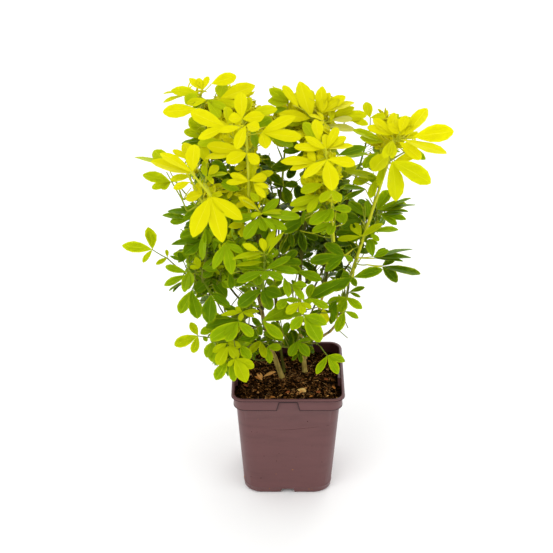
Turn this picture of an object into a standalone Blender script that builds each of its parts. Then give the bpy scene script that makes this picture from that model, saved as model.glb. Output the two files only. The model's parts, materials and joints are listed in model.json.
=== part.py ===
"""A young golden Mexican orange, Choisya ternata, in a square plum-brown nursery pot.

The shrub stands on three woody stems that rise from the soil. Boughs leave the stems, each bough
or stem carries one mass of foliage at its tip, and each mass is one solid: shoots that branch from
one stem, with leaves of three leaflets fused on in opposite pairs.

Places and sizes are in millimetres, +Z up, with the origin under the middle of the pot. They are
turned into metres where a mesh is made.
"""
import math
import random

import bmesh
import bpy
import numpy as np
from mathutils import Vector
from mathutils.bvhtree import BVHTree

MM = 0.001
UP = np.array([0.0, 0.0, 1.0])
GAP = 0.3               # air left between one solid and the next
LEAF_GAP = 1.0          # air left between the spaces of two masses

# Pot, a tapered square with round corners
POT_HEIGHT = 164.0
LIP_HALF = 76.0         # half the side across the rolled lip
LIP_HEIGHT = 4.0
LIP_ROUND = 1.2
BAND_HALF = 73.8        # half the side across the band under the lip
BAND_FOOT = 144.0       # height of the band's lower edge
BAND_DRAFT = 0.6        # how much narrower the band is at its foot
LEDGE_SLOPE = 0.4       # rise of the ledges under the band and the lip
WALL_TOP_HALF = 70.0    # half the side of the wall under the band
FOOT_HALF = 60.4
FOOT_ROUND = 3.5
WALL = 1.5
FLOOR = 1.8
CORNER_TOP = 16.0       # corner radius at the rim
CORNER_FOOT = 25.0
CORNER_STEPS = 4
TAB_WIDTH_FOOT = 31.5   # the gap in the band at the middle of each side
TAB_WIDTH_TOP = 25.0
TAB_BELOW_LIP = 1.6
NOTCH_WIDTH_FOOT = 20.0  # the drainage notch under the middle of each side
NOTCH_WIDTH_TOP = 16.4
NOTCH_HEIGHT = 7.0
NOTCH_DEPTH = 24.0
SLOT_WIDTH = 3.6        # drainage slot in the roof of each notch
SLOT_LENGTH = 11.0

# Soil, level where the stems stand and lower along the wall
SOIL_TOP = 150.0
SOIL_EDGE_DROP = 1.6
SOIL_SHOULDER = 9.0

# Stems and boughs
STEM_SIDES = 7
BOUGH_SIDES = 5
LIMB_STEPS = 6
FLARE = 0.30            # how much wider a stem is at its foot
FLARE_HEIGHT = 7.0
FLARE_RINGS = (0.1, 0.25)   # shares of a stem's first step that have a ring of their own

# Each limb: its parent, then its foot or its share along the parent, its tip, how its middle is
# bowed away from a straight line, and its radius at the base and at the tip.
LIMBS = {
    "stem_left": (None, (-8, 3), (-37, -60, 423), (-32, 24, 0), 3.4, 1.8),
    "stem_twin": (None, (-5, 17), (-8, 32, 438), (-24, 4, 10), 1.9, 1.3),
    "stem_right": (None, (24, 18), (32, 14, 445), (-24, 28, -20), 3.0, 1.6),
    "bough_right_main": ("stem_right", 0.05, (56, -38, 382), (12, 26, 0), 2.1, 1.6),
    "bough_right_low": ("bough_right_main", 0.17, (80, -17, 312), (22, 0, -36), 1.9, 1.6),
    "bough_low_right": ("bough_right_low", 0.72, (64, -32, 269), (-2, -4, -6), 1.2, 1.0),
    "bough_right_side": ("bough_right_main", 0.52, (98, 22, 347), (4, 6, -6), 1.5, 1.1),
    "bough_centre_low": ("bough_right_main", 0.30, (12, -74, 277), (0, -6, -14), 1.5, 1.1),
    "bough_front_low": ("stem_right", 0.16, (10, -24, 214), (0, -8, -6), 1.3, 1.0),
    "bough_top_left": ("stem_left", 0.50, (-99, 10, 477), (-22, 8, -4), 1.8, 1.3),
    "bough_left_front": ("stem_left", 0.60, (-88, -64, 409), (-18, -4, -8), 1.7, 1.2),
    "bough_left": ("stem_left", 0.39, (-92, -30, 345), (-12, 0, -16), 1.5, 1.1),
    "bough_left_low": ("stem_left", 0.30, (-82, -42, 290), (-8, -4, -12), 1.5, 1.1),
    "bough_front_left": ("stem_left", 0.45, (-33, -88, 327), (4, -12, -14), 1.5, 1.1),
    "bough_low_left": ("stem_left", 0.21, (-48, -62, 258), (-4, -8, -12), 1.4, 1.0),
    "bough_pot_left": ("stem_left", 0.12, (-60, -56, 227), (-6, -6, -12), 1.4, 1.0),
    "bough_back_top_left": ("stem_twin", 0.52, (-62, 66, 443), (-10, 10, -10), 1.5, 1.1),
    "bough_back_left": ("stem_twin", 0.38, (-86, 56, 348), (-8, 6, -14), 1.5, 1.1),
    "bough_back": ("stem_twin", 0.30, (-12, 96, 340), (-2, 10, -14), 1.5, 1.1),
    "bough_back_low_left": ("stem_twin", 0.16, (-56, 72, 255), (-4, 6, -12), 1.4, 1.0),
    "bough_back_top": ("stem_right", 0.56, (22, 80, 436), (-2, 12, -8), 1.5, 1.1),
    "bough_back_top_right": ("stem_right", 0.44, (88, 44, 431), (10, 6, -12), 1.6, 1.2),
    "bough_back_right": ("stem_right", 0.32, (70, 84, 345), (6, 10, -14), 1.5, 1.1),
    "bough_back_low_right": ("stem_right", 0.22, (48, 84, 249), (2, 8, -12), 1.4, 1.0),
}

# Each mass of foliage: the limb whose tip carries it, the length of a grown leaflet, how many
# leaves its solid has, and where its shoots end, the leading shoot first.
MASSES = {
    "foliage_upper_left": (
        "stem_left", 40, 11, [(-56, -80, 560), (-36, -104, 453), (-14, -64, 496)]),
    "foliage_top_left": (
        "bough_top_left", 40, 11, [(-111, 10, 566), (-78, 34, 543), (-139, 22, 527)]),
    "foliage_left_front": (
        "bough_left_front", 38, 12, [(-124, -106, 512), (-102, -92, 493), (-143, -44, 471)]),
    "foliage_left": ("bough_left", 38, 9, [(-122, -34, 426), (-108, -58, 399)]),
    "foliage_left_low": (
        "bough_left_low", 36, 10, [(-128, -60, 348), (-110, -82, 369), (-158, -30, 354)]),
    "foliage_front_left": (
        "bough_front_left", 38, 9, [(-30, -130, 412), (-28, -124, 383), (-66, -112, 397)]),
    "foliage_low_left": ("bough_low_left", 34, 8, [(-60, -102, 311), (-34, -98, 294)]),
    "foliage_pot_left": (
        "bough_pot_left", 32, 9, [(-80, -100, 270), (-92, -74, 259), (-66, -108, 256)]),
    "foliage_front_low": (
        "bough_front_low", 28, 7, [(10, -52, 242), (-28, -58, 240), (34, -30, 233)]),
    "foliage_centre_low": (
        "bough_centre_low", 34, 8, [(4, -110, 356), (15, -112, 332), (36, -100, 337)]),
    "foliage_low_right": ("bough_low_right", 32, 7, [(75, -32, 296), (74, -44, 280)]),
    "foliage_right": (
        "bough_right_low", 42, 14, [(131, -50, 530), (151, -48, 518), (100, -32, 390)]),
    "foliage_right_side": ("bough_right_side", 38, 8, [(116, 22, 396), (130, 6, 386)]),
    "foliage_centre": (
        "bough_right_main", 42, 11, [(43, -100, 534), (20, -96, 469), (62, -86, 453)]),
    "foliage_top": ("stem_right", 42, 9, [(40, 0, 538), (68, 14, 520)]),
    "foliage_top_centre": ("stem_twin", 40, 8, [(-2, 30, 531), (-16, 4, 500)]),
    "foliage_back_top_left": ("bough_back_top_left", 42, 9, [(-72, 78, 489), (-106, 66, 469)]),
    "foliage_back_top_right": ("bough_back_top_right", 42, 9, [(106, 50, 504), (82, 96, 468)]),
    "foliage_back_top": ("bough_back_top", 42, 9, [(14, 96, 484), (48, 70, 491)]),
    "foliage_back_left": ("bough_back_left", 42, 9, [(-124, 56, 403), (-98, 98, 385)]),
    "foliage_back": ("bough_back", 42, 9, [(-30, 124, 416), (14, 132, 392)]),
    "foliage_back_right": ("bough_back_right", 42, 9, [(104, 92, 389), (66, 126, 396)]),
    "foliage_back_low_left": ("bough_back_low_left", 38, 8, [(-98, 86, 304), (-52, 112, 289)]),
    "foliage_back_low_right": ("bough_back_low_right", 38, 8, [(58, 104, 299), (20, 118, 284)]),
}

# Which way the face of a leaf looks
TO_FRONT = (0, -0.75, 0.65)
TO_SKY = (0, -0.55, 0.85)
HANGING = (0, -0.95, 0.3)

# Leaves that stand out of the crown: their mass, the point where the three leaflets meet, the tip
# of the middle leaflet, the angle to the other two, and which way the leaf looks.
STAND_OUT_LEAVES = [
    ("foliage_left_front", (-95, -130, 492), (-86, -138, 432), 40, HANGING),
    ("foliage_left_front", (-120, -125, 521), (-156, -122, 545), 40, TO_FRONT),
    ("foliage_left_front", (-150, -34, 479), (-189, -32, 499), 40, TO_SKY),
    ("foliage_left_front", (-147, -56, 477), (-177, -64, 478), 42, TO_SKY),
    ("foliage_left_front", (-78, -120, 422), (-80, -134, 379), 40, HANGING),
    ("foliage_top_left", (-116, 0, 551), (-159, -14, 549), 45, TO_SKY),
    ("foliage_top_left", (-86, 0, 565), (-42, -8, 583), 42, TO_FRONT),
    ("foliage_top_left", (-98, 15, 576), (-64, 30, 588), 50, TO_SKY),
    ("foliage_upper_left", (-75, -90, 564), (-121, -102, 575), 42, TO_FRONT),
    ("foliage_upper_left", (-33, -90, 556), (14, -104, 563), 42, TO_FRONT),
    ("foliage_upper_left", (-56, -80, 566), (-58, -72, 604), 60, TO_FRONT),
    ("foliage_left", (-126, -40, 431), (-160, -46, 425), 42, TO_SKY),
    ("foliage_left", (-110, -56, 395), (-142, -72, 385), 42, TO_FRONT),
    ("foliage_left_low", (-177, -20, 362), (-208, -22, 375), 62, TO_FRONT),
    ("foliage_left_low", (-100, -70, 326), (-112, -88, 282), 42, HANGING),
    ("foliage_front_left", (-34, -125, 362), (-34, -142, 329), 45, HANGING),
    ("foliage_low_left", (-64, -120, 310), (-84, -146, 288), 50, TO_FRONT),
    ("foliage_low_left", (-33, -100, 300), (10, -112, 307), 48, TO_FRONT),
    ("foliage_pot_left", (-118, -70, 261), (-146, -74, 251), 70, TO_FRONT),
    ("foliage_pot_left", (-80, -102, 265), (-94, -120, 236), 60, HANGING),
    ("foliage_pot_left", (-72, -112, 250), (-80, -128, 218), 60, HANGING),
    ("foliage_front_low", (52, -55, 221), (62, -64, 193), 62, HANGING),
    ("foliage_front_low", (11, -52, 241), (8, -64, 215), 55, HANGING),
    ("foliage_centre_low", (18, -120, 320), (38, -138, 283), 60, TO_FRONT),
    ("foliage_centre", (45, -106, 527), (52, -132, 489), 52, TO_FRONT),
    ("foliage_centre", (32, -110, 528), (-12, -122, 531), 45, TO_FRONT),
    ("foliage_centre", (53, -90, 455), (24, -112, 429), 45, TO_FRONT),
    ("foliage_top", (29, -10, 541), (14, 0, 589), 60, HANGING),
    ("foliage_right", (157, -50, 532), (205, -46, 542), 42, TO_FRONT),
    ("foliage_right", (125, -70, 511), (140, -88, 457), 48, HANGING),
    ("foliage_right", (71, -60, 372), (24, -84, 371), 42, TO_FRONT),
    ("foliage_right", (84, -50, 338), (24, -86, 322), 42, TO_FRONT),
    ("foliage_right", (113, -30, 355), (164, -24, 363), 42, TO_SKY),
    ("foliage_right", (123, -20, 336), (174, -20, 322), 42, TO_SKY),
    ("foliage_right_side", (118, 20, 400), (162, 18, 412), 42, TO_SKY),
    ("foliage_low_right", (74, -40, 282), (66, -56, 250), 62, HANGING),
]

# What makes a shoot's point a bad root for such a leaf, in millimetres of stalk
BACKWARD_COST = 30.0
SHORT_COST = 3.0
SHORTEST_STALK = 8.0

# How leaves grow on a shoot, from its tip down: the distance of each pair below the tip, and for
# that pair the size of its leaflets, the lean of its stalk, the stalk's length in leaflets, how
# far the leaf droops, and how often it has fallen.
PAIR_BELOW_TIP = (1, 5, 12, 23, 38, 56, 78, 104, 132)
PAIR_SIZE = (0.42, 0.66, 0.86, 1.0, 1.0, 1.0, 0.95, 0.95, 0.9)
PAIR_LEAN = (14, 32, 50, 64, 76, 84, 90, 94, 98)
PAIR_STALK = (0.16, 0.26, 0.40, 0.52, 0.58, 0.62, 0.62, 0.62, 0.6)
PAIR_DROOP = (0, 4, 10, 16, 24, 30, 36, 42, 46)
PAIR_FALLEN = (0, 0, 0, 0.05, 0.15, 0.3, 0.35, 0.4, 0.5)
GROWN_FROM = 42.0       # leaflet length that PAIR_BELOW_TIP is given for
ANGLE_VARIES = 8.0      # degrees that a stalk's lean and a leaf's droop vary by
TURN_VARIES = 0.25      # radians that a leaf's place round the shoot varies by
SIZE_VARIES = (0.85, 1.12)
STALK_LIFT = 0.25       # how far stalks turn up to the light, from the third pair down
FACE_AHEAD = 0.5        # how far a leaf's face looks along its shoot
FACE_UP = 0.9           # and up
FACE_OUT = 0.9          # and away from the crown's middle, at its rim
FACE_VARIES = 0.2
CROWN_MIDDLE = (0.0, 10.0)
CROWN_RADIUS = 150.0

# Shoots
SHOOT_STEPS = 5
SHOOT_RADIUS = (1.7, 1.0)
SHOOT_AHEAD = 0.08      # how far a shoot's middle keeps to its first direction, in its length
SHOOT_SAG = 0.056       # and how far it hangs
SIDE_SHOOT_LEAN = 38.0
SIDE_SHOOT_FROM = (0.08, 0.85)  # shares of the leading shoot between which side shoots leave it
SIDE_SHOOT_SHORTEST = 12.0
SIDE_SHOOT_SIZE = 0.85  # thickness, compared with the leading shoot's
BARE_FOOT = 0.08        # share of the leading shoot that has no leaves, at its foot
BARE_FORK = 0.2         # the same for a side shoot

# A leaf's form
SPREAD = (48, 62)       # degrees between the middle leaflet and the outer two
SPREAD_VARIES = (0.92, 1.1)
LEAFLET_VARIES = (0.94, 1.06)
SIDE_LEAFLET = 0.86     # length of the outer leaflets
SIDE_DROP = 0.12        # how far the outer leaflets hang below the middle one
LEAFLET_WIDEST = 0.56   # where it is widest
LEAFLET_THICK = 1.2
MEET_REACH = 2.6        # from the point where the leaflets meet to the notch between two of them
STALK_RADIUS = 0.95
STALK_DEPTH = 1.5       # how deep the stalk's ridge is at its root, in its radius
STALK_SUNK = 0.4        # how far its root passes the middle of the shoot
# The solids have fewer leaves than life, so grown leaves are larger there and the crown stays
# full: how much longer than life, and width for each unit of length.
TRUE_LEAFLET = (1.0, 0.40)
FULL_LEAFLET = (1.25, 0.48)

CROSSING_UP_TO = 0.75   # share of a mass's leaves up to which crossing ones are added

# The order in which the pairs of a shoot are tried in its solid, the broad young leaves first
PAIR_ORDER = (3, 2, 4, 1, 5, 6, 7, 8)

# Colour, roughness
COLOURS = {
    "pot_plastic": ((0.171, 0.084, 0.082), 0.42),
    "potting_soil": ((0.028, 0.012, 0.005), 0.95),
    "bark": ((0.275, 0.171, 0.045), 0.8),
    "leaf_gold": ((0.78, 0.72, 0.004), 0.45),
    "leaf_lime": ((0.36, 0.45, 0.003), 0.45),
    "leaf_green": ((0.13, 0.25, 0.004), 0.45),
}
GOLD_ABOVE = 505.0      # a mass whose leading shoot ends above this is golden
LIME_ABOVE = 360.0


def unit(v):
    return v / np.linalg.norm(v)


def curve(start, end, bow, steps):
    """Points on a smooth curve whose middle is pushed away from the straight line by bow."""
    start, end, bow = (np.array(p, float) for p in (start, end, bow))
    middle = (start + end) / 2 + bow
    t = np.linspace(0, 1, steps + 1)[:, None]
    return (1 - t) ** 2 * start + 2 * t * (1 - t) * middle + t ** 2 * end


def along(path, share):
    """The point at that share of a path's steps, and the path's direction there."""
    place = min(share, 0.9999) * (len(path) - 1)
    step = int(place)
    leg = path[step + 1] - path[step]
    return path[step] + (place - step) * leg, unit(leg)


def path_length(path):
    return np.linalg.norm(np.diff(path, axis=0), axis=1).sum()


def material(name):
    colour, roughness = COLOURS[name]
    mat = bpy.data.materials.new(name)
    mat.use_nodes = True
    shader = mat.node_tree.nodes["Principled BSDF"]
    shader.inputs["Base Color"].default_value = (*colour, 1)
    shader.inputs["Roughness"].default_value = roughness
    shader.inputs["Metallic"].default_value = 0
    return mat


def mesh_of(points, faces):
    """A closed mesh in metres, with its faces pointing out."""
    bm = bmesh.new()
    verts = [bm.verts.new(Vector(p) * MM) for p in points]
    for face in faces:
        bm.faces.new([verts[i] for i in face])
    bmesh.ops.recalc_face_normals(bm, faces=bm.faces)
    mesh = bpy.data.meshes.new("mesh")
    bm.to_mesh(mesh)
    bm.free()
    return mesh


def place(name, mesh, mat=None, collection=None):
    obj = bpy.data.objects.new(name, mesh)
    (collection or bpy.context.scene.collection).objects.link(obj)
    if mat:
        mesh.materials.clear()
        mesh.materials.append(mat)
    return obj


def combine(obj, others, operation, solver="EXACT"):
    """Join others to obj or cut them from it by one Boolean on a collection, then drop them."""
    tools = bpy.data.collections.new("tools")
    bpy.context.scene.collection.children.link(tools)
    for other in others:
        for home in list(other.users_collection):
            home.objects.unlink(other)
        tools.objects.link(other)
    step = obj.modifiers.new("combine", "BOOLEAN")
    step.operation = operation
    step.operand_type = "COLLECTION"
    step.collection = tools
    step.solver = solver
    graph = bpy.context.evaluated_depsgraph_get()
    mesh = bpy.data.meshes.new_from_object(obj.evaluated_get(graph))
    obj.modifiers.clear()
    obj.data = mesh
    for other in list(tools.objects):
        bpy.data.objects.remove(other)
    bpy.data.collections.remove(tools)


def keep_largest_shell(mesh):
    """Drop loose scraps and sealed hollows: only the shell with the largest box stays."""
    bm = bmesh.new()
    bm.from_mesh(mesh)
    unseen = set(bm.verts)
    shells = []
    while unseen:
        shell = {unseen.pop()}
        front = list(shell)
        while front:
            for edge in front.pop().link_edges:
                for vert in edge.verts:
                    if vert in unseen:
                        unseen.remove(vert)
                        shell.add(vert)
                        front.append(vert)
        spots = np.array([vert.co for vert in shell])
        shells.append((np.ptp(spots, axis=0).sum(), shell))
    largest = max(shells, key=lambda item: item[0])[1]
    bmesh.ops.delete(bm, geom=[v for v in bm.verts if v not in largest], context="VERTS")
    bm.to_mesh(mesh)
    bm.free()


# Pot and soil

def rounded_square(half, radius, height):
    """The ring of points of a square with round corners, anticlockwise from above."""
    ring = []
    for quarter in range(4):
        for step in range(CORNER_STEPS + 1):
            turn = math.radians(90) * (quarter + step / CORNER_STEPS)
            corner = math.radians(90) * quarter + math.radians(45)
            centre = (half - radius) * math.sqrt(2)
            ring.append((centre * math.cos(corner) + radius * math.cos(turn),
                         centre * math.sin(corner) + radius * math.sin(turn), height))
    return ring


def loft(rings):
    """A closed skin through rings of equal count, with a flat cap at each end."""
    count = len(rings[0])
    points = [p for ring in rings for p in ring]
    faces = [tuple(reversed(range(count))),
             tuple(range(len(points) - count, len(points)))]
    for level in range(len(rings) - 1):
        low = level * count
        for i in range(count):
            j = (i + 1) % count
            faces.append((low + i, low + j, low + count + j, low + count + i))
    return mesh_of(points, faces)


def wall_half(height):
    """Half the outer width of the tapered wall at a height."""
    return FOOT_HALF + (WALL_TOP_HALF - FOOT_HALF) * height / BAND_FOOT


def corner_radius(height):
    return CORNER_FOOT + (CORNER_TOP - CORNER_FOOT) * height / POT_HEIGHT


def pot_outside():
    rings = []
    for turn in (0, 30, 60, 90):
        swing = math.radians(turn)
        height = FOOT_ROUND * (1 - math.cos(swing))
        half = wall_half(FOOT_ROUND) - FOOT_ROUND * (1 - math.sin(swing))
        rings.append((half, height))
    lip_foot = POT_HEIGHT - LIP_HEIGHT
    rings += [
        (wall_half(BAND_FOOT), BAND_FOOT),
        (BAND_HALF - BAND_DRAFT, BAND_FOOT + LEDGE_SLOPE),
        (BAND_HALF, lip_foot),
        (LIP_HALF, lip_foot + LEDGE_SLOPE),
        (LIP_HALF, POT_HEIGHT - LIP_ROUND),
        (LIP_HALF - LIP_ROUND, POT_HEIGHT),
    ]
    return loft([rounded_square(half, corner_radius(height), height) for half, height in rings])


def pot_inside(shrink, top):
    """The hollow of the pot up to a height, pulled in by shrink on every side."""
    step_foot = BAND_FOOT + WALL
    rings = [
        (wall_half(FLOOR) - WALL, FLOOR + shrink),
        (wall_half(BAND_FOOT) - WALL, BAND_FOOT),
        (BAND_HALF - WALL, step_foot + shrink),
        (BAND_HALF - WALL, top),
    ]
    return [rounded_square(half - shrink, corner_radius(min(height, POT_HEIGHT)) - WALL - shrink,
                           height) for half, height in rings]


def side_blocks(width_foot, width_top, low, high, inner, outer, grow):
    """Four tapered blocks, one at the middle of each side, made larger by grow all round."""
    blocks = []
    for quarter in range(4):
        turn = math.radians(90) * quarter
        points = []
        for height, width in ((low - grow, width_foot), (high + grow, width_top)):
            for reach, sign in ((inner - grow, -1), (inner - grow, 1), (outer, 1), (outer, -1)):
                x, y = reach, sign * (width / 2 + grow)
                points.append((x * math.cos(turn) - y * math.sin(turn),
                               x * math.sin(turn) + y * math.cos(turn), height))
        faces = [(3, 2, 1, 0), (4, 5, 6, 7), (0, 1, 5, 4), (1, 2, 6, 5), (2, 3, 7, 6), (3, 0, 4, 7)]
        blocks.append(place("block", mesh_of(points, faces)))
    return blocks


def tab_blocks(grow):
    top = POT_HEIGHT - LIP_HEIGHT - TAB_BELOW_LIP
    return side_blocks(TAB_WIDTH_FOOT, TAB_WIDTH_TOP, BAND_FOOT - WALL, top,
                       WALL_TOP_HALF + 0.1, LIP_HALF + 5, grow)


def notch_blocks(grow):
    return side_blocks(NOTCH_WIDTH_FOOT, NOTCH_WIDTH_TOP, -1.0, NOTCH_HEIGHT,
                       FOOT_HALF - NOTCH_DEPTH, FOOT_HALF + 5, grow)


def drainage_slots():
    middle = FOOT_HALF - NOTCH_DEPTH + SLOT_LENGTH
    return side_blocks(SLOT_WIDTH, SLOT_WIDTH, NOTCH_HEIGHT - 1, NOTCH_HEIGHT + 2 * WALL,
                       middle - SLOT_LENGTH / 2, middle + SLOT_LENGTH / 2, 0)


def make_pot(mat):
    hollow = place("hollow", loft(pot_inside(0, POT_HEIGHT + 10)))
    combine(hollow, notch_blocks(WALL) + tab_blocks(WALL), "DIFFERENCE")
    pot = place("pot", pot_outside(), mat)
    combine(pot, [hollow] + notch_blocks(0) + tab_blocks(0) + drainage_slots(), "DIFFERENCE")
    pot.data.shade_smooth()
    pot.data.set_sharp_from_angle(angle=math.radians(30))
    return pot


def make_soil(mat):
    rings = pot_inside(GAP, SOIL_TOP - SOIL_EDGE_DROP)
    half = BAND_HALF - WALL - GAP
    radius = corner_radius(SOIL_TOP)
    rings.append(rounded_square(half - SOIL_SHOULDER, radius - SOIL_SHOULDER / 2, SOIL_TOP))
    soil = place("soil", loft(rings), mat)
    combine(soil, notch_blocks(WALL + GAP) + tab_blocks(WALL + GAP), "DIFFERENCE")
    return soil


# Limbs

def tube(path, radii, sides, foot_way=None):
    """A tapering round limb along a path, closed by a flat cap at each end.

    The cap at the foot looks along foot_way where that is given.
    """
    legs = np.diff(path, axis=0)
    ways = np.vstack([legs[:1], legs[:-1] + legs[1:], legs[-1:]])
    side = unit(np.cross(ways[0], (0.3, 1.0, 0.1)))
    points = []
    for i, way in enumerate(ways):
        way = unit(way if i or foot_way is None else foot_way)
        side = unit(side - way * (side @ way))
        third = np.cross(way, side)
        for turn in np.arange(sides) * 2 * math.pi / sides:
            points.append(path[i] + radii[i] * (side * math.cos(turn) + third * math.sin(turn)))
    count = len(points)
    faces = [tuple(range(sides)), tuple(range(count - sides, count))]
    for low in range(0, count - sides, sides):
        for i in range(sides):
            j = (i + 1) % sides
            faces.append((low + i, low + j, low + sides + j, low + sides + i))
    return mesh_of(points, faces)


def limb_path(name, paths):
    parent, base, tip, bow, _, _ = LIMBS[name]
    if parent is None:
        start = (*base, SOIL_TOP + GAP)
    else:
        start = along(paths[parent], base)[0]
    return curve(start, tip, bow, LIMB_STEPS)


def limb_mesh(name, path, extra=0.0):
    """The limb's tube, its radius made larger by extra."""
    parent, _, _, _, base_radius, tip_radius = LIMBS[name]
    if parent is None:
        low = [path[0] + (path[1] - path[0]) * share for share in FLARE_RINGS]
        path = np.vstack([path[:1], low, path[1:]])
    shares = np.r_[0, np.cumsum(np.linalg.norm(np.diff(path, axis=0), axis=1))]
    radii = base_radius + (tip_radius - base_radius) * shares / shares[-1] + extra
    if parent is None:
        radii = radii * (1 + FLARE * np.exp(-shares / FLARE_HEIGHT))
    sides = STEM_SIDES if parent is None else BOUGH_SIDES
    return tube(path, radii, sides, UP if parent is None else None)


def make_limbs(mat):
    """Every stem and bough, each cut clear of the limb that it leaves."""
    paths = {}
    for name in LIMBS:
        paths[name] = limb_path(name, paths)
        limb = place(name, limb_mesh(name, paths[name]), mat)
        parent = LIMBS[name][0]
        if parent:
            cutter = place("cutter", limb_mesh(parent, paths[parent], GAP))
            combine(limb, [cutter], "DIFFERENCE")
            keep_largest_shell(limb.data)
        limb.data.shade_smooth()
        limb.data.set_sharp_from_angle(angle=math.radians(50))
    return paths


# Foliage

class Leaf:
    """One leaf: a stalk from its root to the point where three leaflets meet."""

    def __init__(self, mass, root, centre, way, length, spread, facing, pair, dice):
        self.mass, self.root, self.centre, self.pair = mass, root, centre, pair
        side = np.cross(way, facing)
        if np.linalg.norm(side) < 0.1:
            side = np.cross(way, (1.0, 0.0, 0.0))
        side = unit(side)
        face = np.cross(side, way)
        self.tips, self.faces = [], []
        for hand, share in ((0, 1.0), (-1, SIDE_LEAFLET), (1, SIDE_LEAFLET)):
            turn = math.radians(spread) * hand * dice.uniform(*SPREAD_VARIES)
            rib = way * math.cos(turn) + side * math.sin(turn) - face * abs(hand) * SIDE_DROP
            rib = unit(rib)
            self.tips.append(centre + rib * length * share * dice.uniform(*LEAFLET_VARIES))
            self.faces.append(unit(np.cross(np.cross(rib, face), rib)))


def side_shoot_share(leader, tip):
    """Where a side shoot leaves the leading shoot, so that it leans away by SIDE_SHOOT_LEAN."""
    best, chosen = math.inf, SIDE_SHOOT_FROM[0]
    for share in np.linspace(*SIDE_SHOOT_FROM, 20):
        point, way = along(leader, share)
        reach = tip - point
        lean = math.acos(np.clip(unit(reach) @ way, -1, 1))
        miss = abs(lean - math.radians(SIDE_SHOOT_LEAN))
        if np.linalg.norm(reach) > SIDE_SHOOT_SHORTEST and miss < best:
            best, chosen = miss, share
    return chosen


def grow_shoots(tips, root, root_way):
    """The shoots of one mass: the leader from the limb's tip, then those that leave it."""
    shoots = []
    for tip in tips:
        tip = np.array(tip, float)
        start, way = root, root_way
        if shoots:
            start, way = along(shoots[0], side_shoot_share(shoots[0], tip))
        reach = np.linalg.norm(tip - start)
        bow = (way * SHOOT_AHEAD - UP * SHOOT_SAG) * reach
        shoots.append(curve(start, tip, bow, 2 * (SHOOT_STEPS - 1)))
    return shoots


def vary(dice, most):
    return dice.uniform(-most, most)


def grow_leaves(mass, shoots, leaflet):
    """Opposite pairs of leaves down each shoot, each pair turned a quarter from the next."""
    dice = random.Random(mass)
    leaves = []
    for order, shoot in enumerate(shoots):
        total = path_length(shoot)
        phase = dice.uniform(0, math.pi)
        for pair, below in enumerate(PAIR_BELOW_TIP):
            below *= leaflet / GROWN_FROM
            if below > total * (1 - (BARE_FORK if order else BARE_FOOT)):
                break
            root, axis = along(shoot, 1 - below / total)
            east = unit(np.cross(axis, (0.0, 1.0, 0.01)))
            north = np.cross(axis, east)
            for half in (0, 1):
                turn = phase + (pair / 2 + half) * math.pi + vary(dice, TURN_VARIES)
                out = east * math.cos(turn) + north * math.sin(turn)
                lean = math.radians(PAIR_LEAN[pair] + vary(dice, ANGLE_VARIES))
                stalk = axis * math.cos(lean) + out * math.sin(lean)
                if pair > 1:
                    stalk = unit(stalk + UP * STALK_LIFT)
                length = leaflet * PAIR_SIZE[pair] * dice.uniform(*SIZE_VARIES)
                centre = root + stalk * length * PAIR_STALK[pair]
                droop = math.radians(PAIR_DROOP[pair] + vary(dice, ANGLE_VARIES))
                way = unit(stalk * math.cos(droop) - UP * math.sin(droop))
                tilt = np.array([vary(dice, FACE_VARIES), vary(dice, FACE_VARIES), 0.0])
                outward = np.append(root[:2] - CROWN_MIDDLE, 0.0) / CROWN_RADIUS
                facing = unit(axis * FACE_AHEAD + UP * FACE_UP + outward * FACE_OUT + tilt)
                leaf = Leaf(mass, root, centre, way, length, dice.uniform(*SPREAD), facing,
                            pair, dice)
                if dice.random() >= PAIR_FALLEN[pair]:
                    leaves.append(leaf)
    return leaves


def stand_out_leaf(row, shoots, number):
    """A leaf of STAND_OUT_LEAVES, rooted where the nearest shoot passes it.

    The root is where the stalk is short, but not too short to show, and doesn't point back down
    the shoot.
    """
    mass, centre, tip, spread, facing = row
    centre, tip = np.array(centre, float), np.array(tip, float)
    best, root = math.inf, None
    for shoot in shoots:
        for share in np.linspace(0.05, 1, 24):
            point, way = along(shoot, share)
            stalk = centre - point
            reach = np.linalg.norm(stalk)
            back = max(0, -unit(stalk) @ way)
            cost = reach + BACKWARD_COST * back + SHORT_COST * max(0, SHORTEST_STALK - reach)
            if cost < best:
                best, root = cost, point
    length = np.linalg.norm(tip - centre)
    return Leaf(mass, root, centre, unit(tip - centre), length, spread,
                unit(np.array(facing, float)), None, random.Random(number))


def solid_size(leaf):
    """How much longer than life a leaf's leaflets are in the solid, and their width by length."""
    return TRUE_LEAFLET if leaf.pair is None else FULL_LEAFLET


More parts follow.
